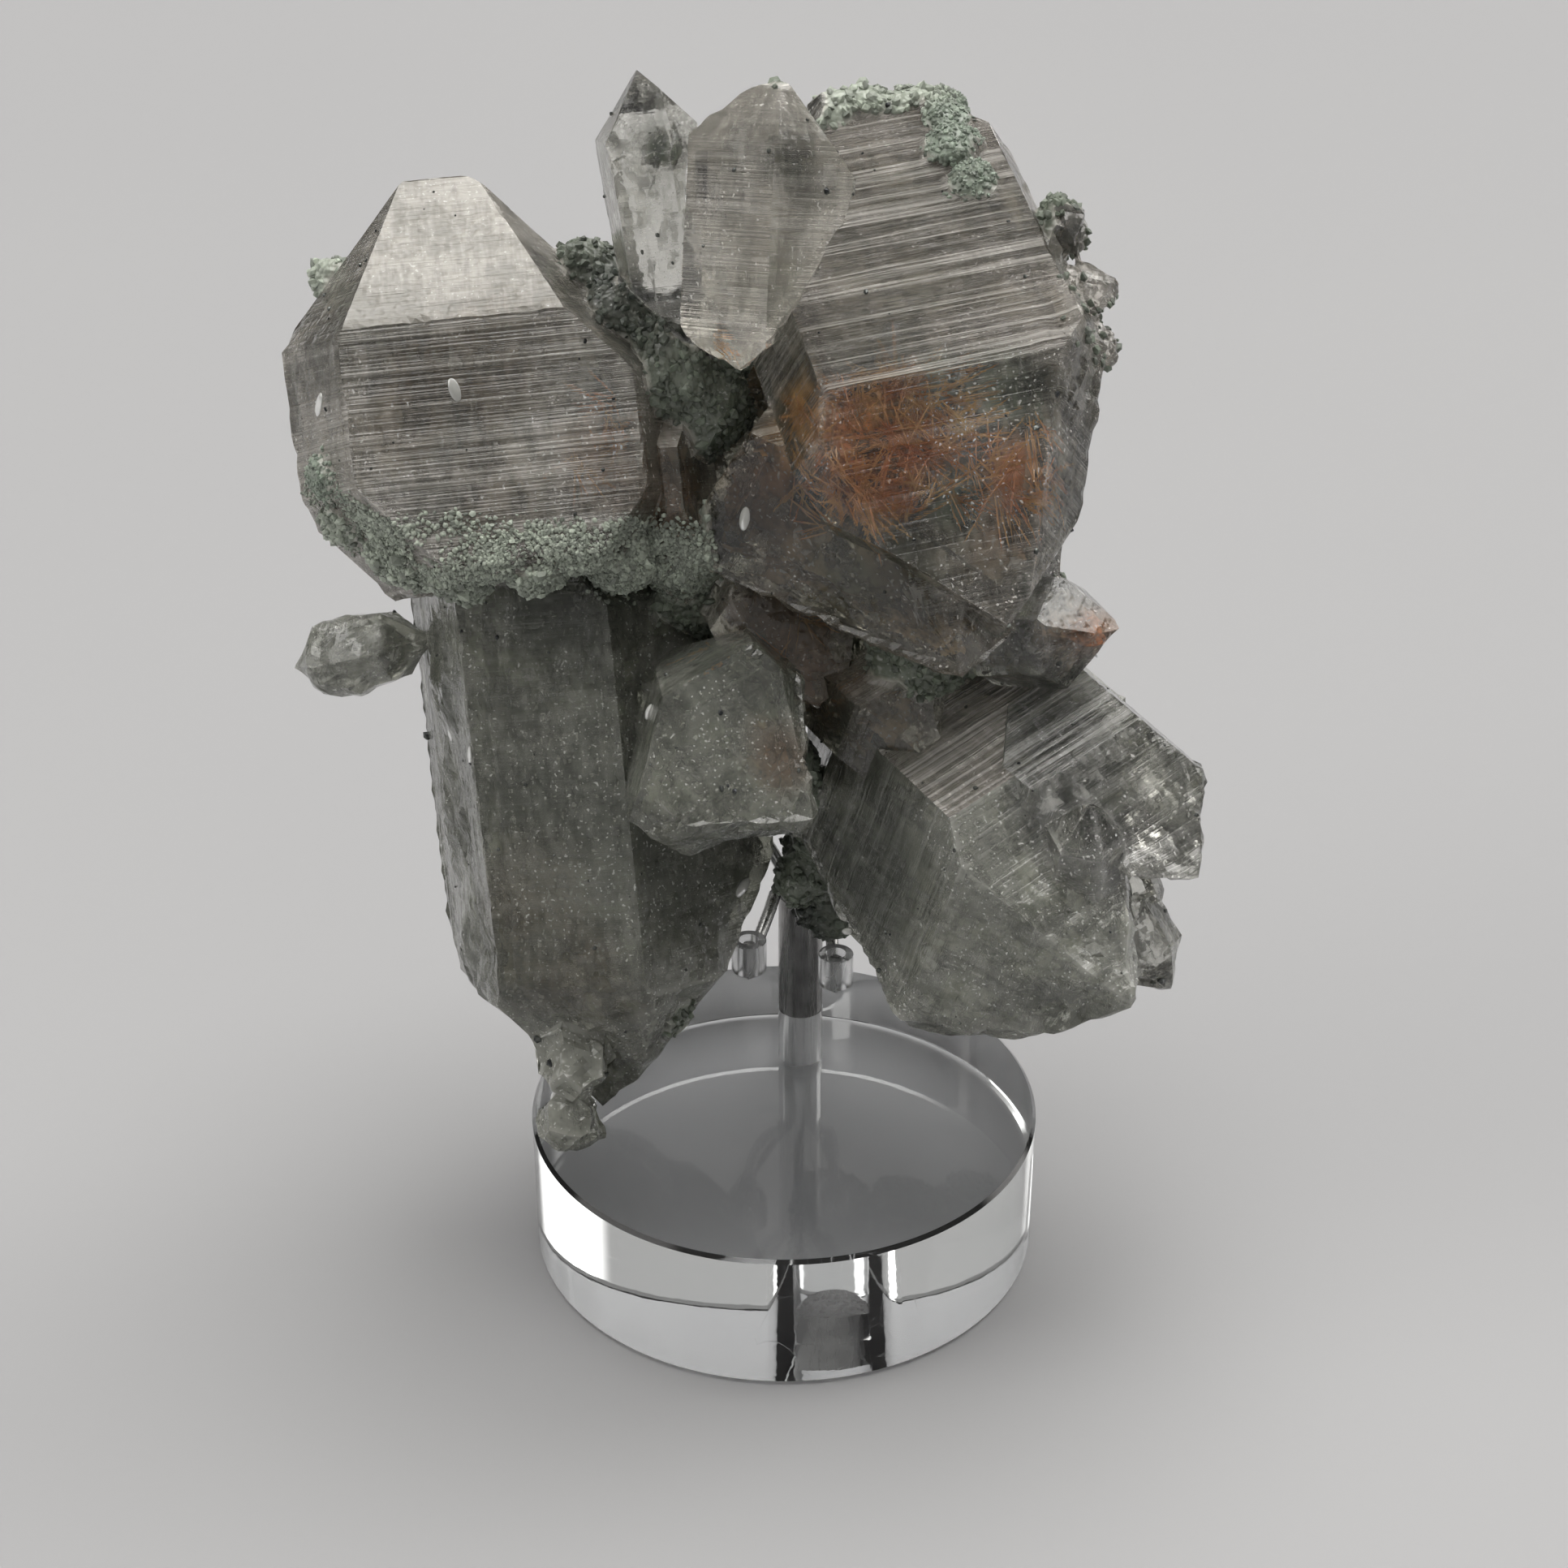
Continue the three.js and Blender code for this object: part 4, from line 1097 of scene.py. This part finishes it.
disc = mesh_object("clear_disc", *disc_with_hole(), acrylic_material())
disc.data.set_sharp_from_angle(angle=math.radians(30))
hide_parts("acrylic_base")


def steel_material(name, base, scale):
    n = Nodes(name)
    place = n.place()
    brush = n.noise(scale, n.scaled(place, (1, 1, 0.04)), 4.0, 0.7)
    roughness = n.ramp(brush, 0.3, 0.7, 0.16, 0.34)
    colour = n.mix(n.ramp(n.noise(300, place, 4.0), 0.4, 0.7), base, tuple(c * 0.75 for c in base))
    n.surface(Base_Color=colour, Metallic=1.0, Roughness=roughness, Normal=n.bump(brush, 0.00003, 0.5))
    return n.material


SOCKET_RADIUS, SOCKET_DEPTH = 2.8, 7
post_profile = [
    (0, POST_FOOT), (POST_RADIUS - 0.3, POST_FOOT), (POST_RADIUS, POST_FOOT + 0.3),
    (POST_RADIUS, POST_TOP - 0.25),
    (POST_RADIUS - 0.2, POST_TOP), (SOCKET_RADIUS, POST_TOP), (SOCKET_RADIUS, POST_TOP - SOCKET_DEPTH),
    (0, POST_TOP - SOCKET_DEPTH),
]
# The post's steel is darker than bare steel: a painted dark reflection of dark surroundings.
steel = steel_material("steel", (0.30, 0.295, 0.29), 1500)
post = mesh_object("steel_rod", *lathe(post_profile, 64, (POST_X, POST_Y)), steel)
post.data.set_sharp_from_angle(angle=math.radians(30))
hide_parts("steel_post")


def rounded(node, name, material):
    """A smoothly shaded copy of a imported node."""
    shape = cad_shape(node)
    bmesh.ops.join_triangles(shape, faces=shape.faces, angle_face_threshold=0.1, angle_shape_threshold=3.1)
    shape.verts.index_update()
    vertices, faces = [tuple(v.co) for v in shape.verts], [[v.index for v in f.verts] for f in shape.faces]
    shape.free()
    piece = mesh_object(name, vertices, faces, material)
    piece.data.set_sharp_from_angle(angle=math.radians(55))
    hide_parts(node)
    return piece


# The wires' steel is also darker than bare steel: a painted dark reflection.
wire_steel = steel_material("steel_wire", (0.34, 0.34, 0.33), 2500)
for place in ("front_left", "front_right", "back_left", "back_middle", "back_right"):
    rounded(f"wire_{place}", f"bent_wire_{place}", wire_steel)

SLEEVE_RADIUS, SLEEVE_BORE, SLEEVE_ROUNDING = 2.4, 1.35, 0.35
sleeve_plastic = acrylic_material("clear_sleeve", 0.45)
for side in ("left", "right"):
    low, high = (np.array(c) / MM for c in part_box(f"sleeve_{side}"))
    sleeve_profile = [
        (SLEEVE_BORE, low[2]), (SLEEVE_RADIUS - SLEEVE_ROUNDING, low[2]),
        (SLEEVE_RADIUS - 0.1, low[2] + 0.12), (SLEEVE_RADIUS, low[2] + SLEEVE_ROUNDING),
        (SLEEVE_RADIUS, high[2] - 0.12), (SLEEVE_RADIUS - 0.12, high[2]), (SLEEVE_BORE, high[2]),
        (SLEEVE_BORE, low[2]),
    ]
    middle = ((low[0] + high[0]) / 2, (low[1] + high[1]) / 2)
    sleeve = mesh_object(f"soft_sleeve_{side}", *lathe(sleeve_profile, 48, middle), sleeve_plastic)
    sleeve.data.set_sharp_from_angle(angle=math.radians(40))
    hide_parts(f"sleeve_{side}")

# The studio


# Soft boxes in the sky: where each one is, its half angle in degrees, and its brightness
SOFT_BOXES = [((0.08, 0.19, 0.98), 25, 4.2), ((-0.8, -0.2, 0.5), 21, 1.8), ((0.72, 0.4, 0.45), 18, 2.8)]
SKY_LOW, SKY_HIGH = 0.06, 0.6


def studio():
    scene = bpy.context.scene
    camera = bpy.data.cameras.new("camera")
    camera.lens, camera.sensor_width = CAMERA_LENS, CAMERA_SENSOR
    eye = bpy.data.objects.new("camera", camera)
    eye.location, eye.rotation_euler = CAMERA_AT, (CAMERA_TILT, 0, 0)
    scene.collection.objects.link(eye)
    scene.camera = eye

    n = Nodes("floor")
    pale = n.mix(n.noise(3, n.place(), 2.0), (0.36, 0.36, 0.37), (0.385, 0.385, 0.39))
    n.surface(Base_Color=pale, Roughness=0.55)
    mesh = bpy.data.meshes.new("floor")
    mesh.from_pydata([(-3, -3, 0), (3, -3, 0), (3, 3, 0), (-3, 3, 0)], [], [(0, 1, 2, 3)])
    mesh.materials.append(n.material)
    floor = bpy.data.objects.new("floor", mesh)
    floor.location.z = -0.0002
    scene.collection.objects.link(floor)

    world = bpy.data.worlds.new("studio")
    world.use_nodes = True
    tree, sky = world.node_tree, world.node_tree.nodes["Background"]

    def add(kind, *inputs, **settings):
        node = tree.nodes.new(kind)
        for key, value in settings.items():
            setattr(node, key, value)
        for socket, value in zip(node.inputs, inputs):
            if isinstance(value, bpy.types.NodeSocket):
                tree.links.new(value, socket)
            else:
                socket.default_value = value
        return node.outputs

    way = add("ShaderNodeTexCoord")["Generated"]
    rise = add("ShaderNodeSeparateXYZ", way)["Z"]
    bright = add("ShaderNodeMapRange", rise, 0.0, 0.9, SKY_LOW, SKY_HIGH)[0]
    for aim, angle, strength in SOFT_BOXES:
        near = add("ShaderNodeVectorMath", way, Vector(aim).normalized(), operation="DOT_PRODUCT")["Value"]
        outer, inner = (math.cos(math.radians(angle + soft)) for soft in (4, -4))
        box = add("ShaderNodeMapRange", near, outer, inner, 0.0, strength, interpolation_type="SMOOTHSTEP")[0]
        bright = add("ShaderNodeMath", bright, box, operation="ADD")[0]
    tree.links.new(bright, sky.inputs["Strength"])
    sky.inputs["Color"].default_value = (1.0, 0.985, 0.96, 1)
    # Every bounce can find the sky, so it needs no sampling as a lamp.
    world.cycles.sampling_method = "NONE"
    scene.world = world
    scene.view_settings.view_transform = "Standard"
    # Enough bounces for light to cross the crystals and the disc
    scene.cycles.max_bounces = scene.cycles.transmission_bounces = 7
    scene.cycles.diffuse_bounces = 1
    scene.cycles.transparent_max_bounces = 4


studio()
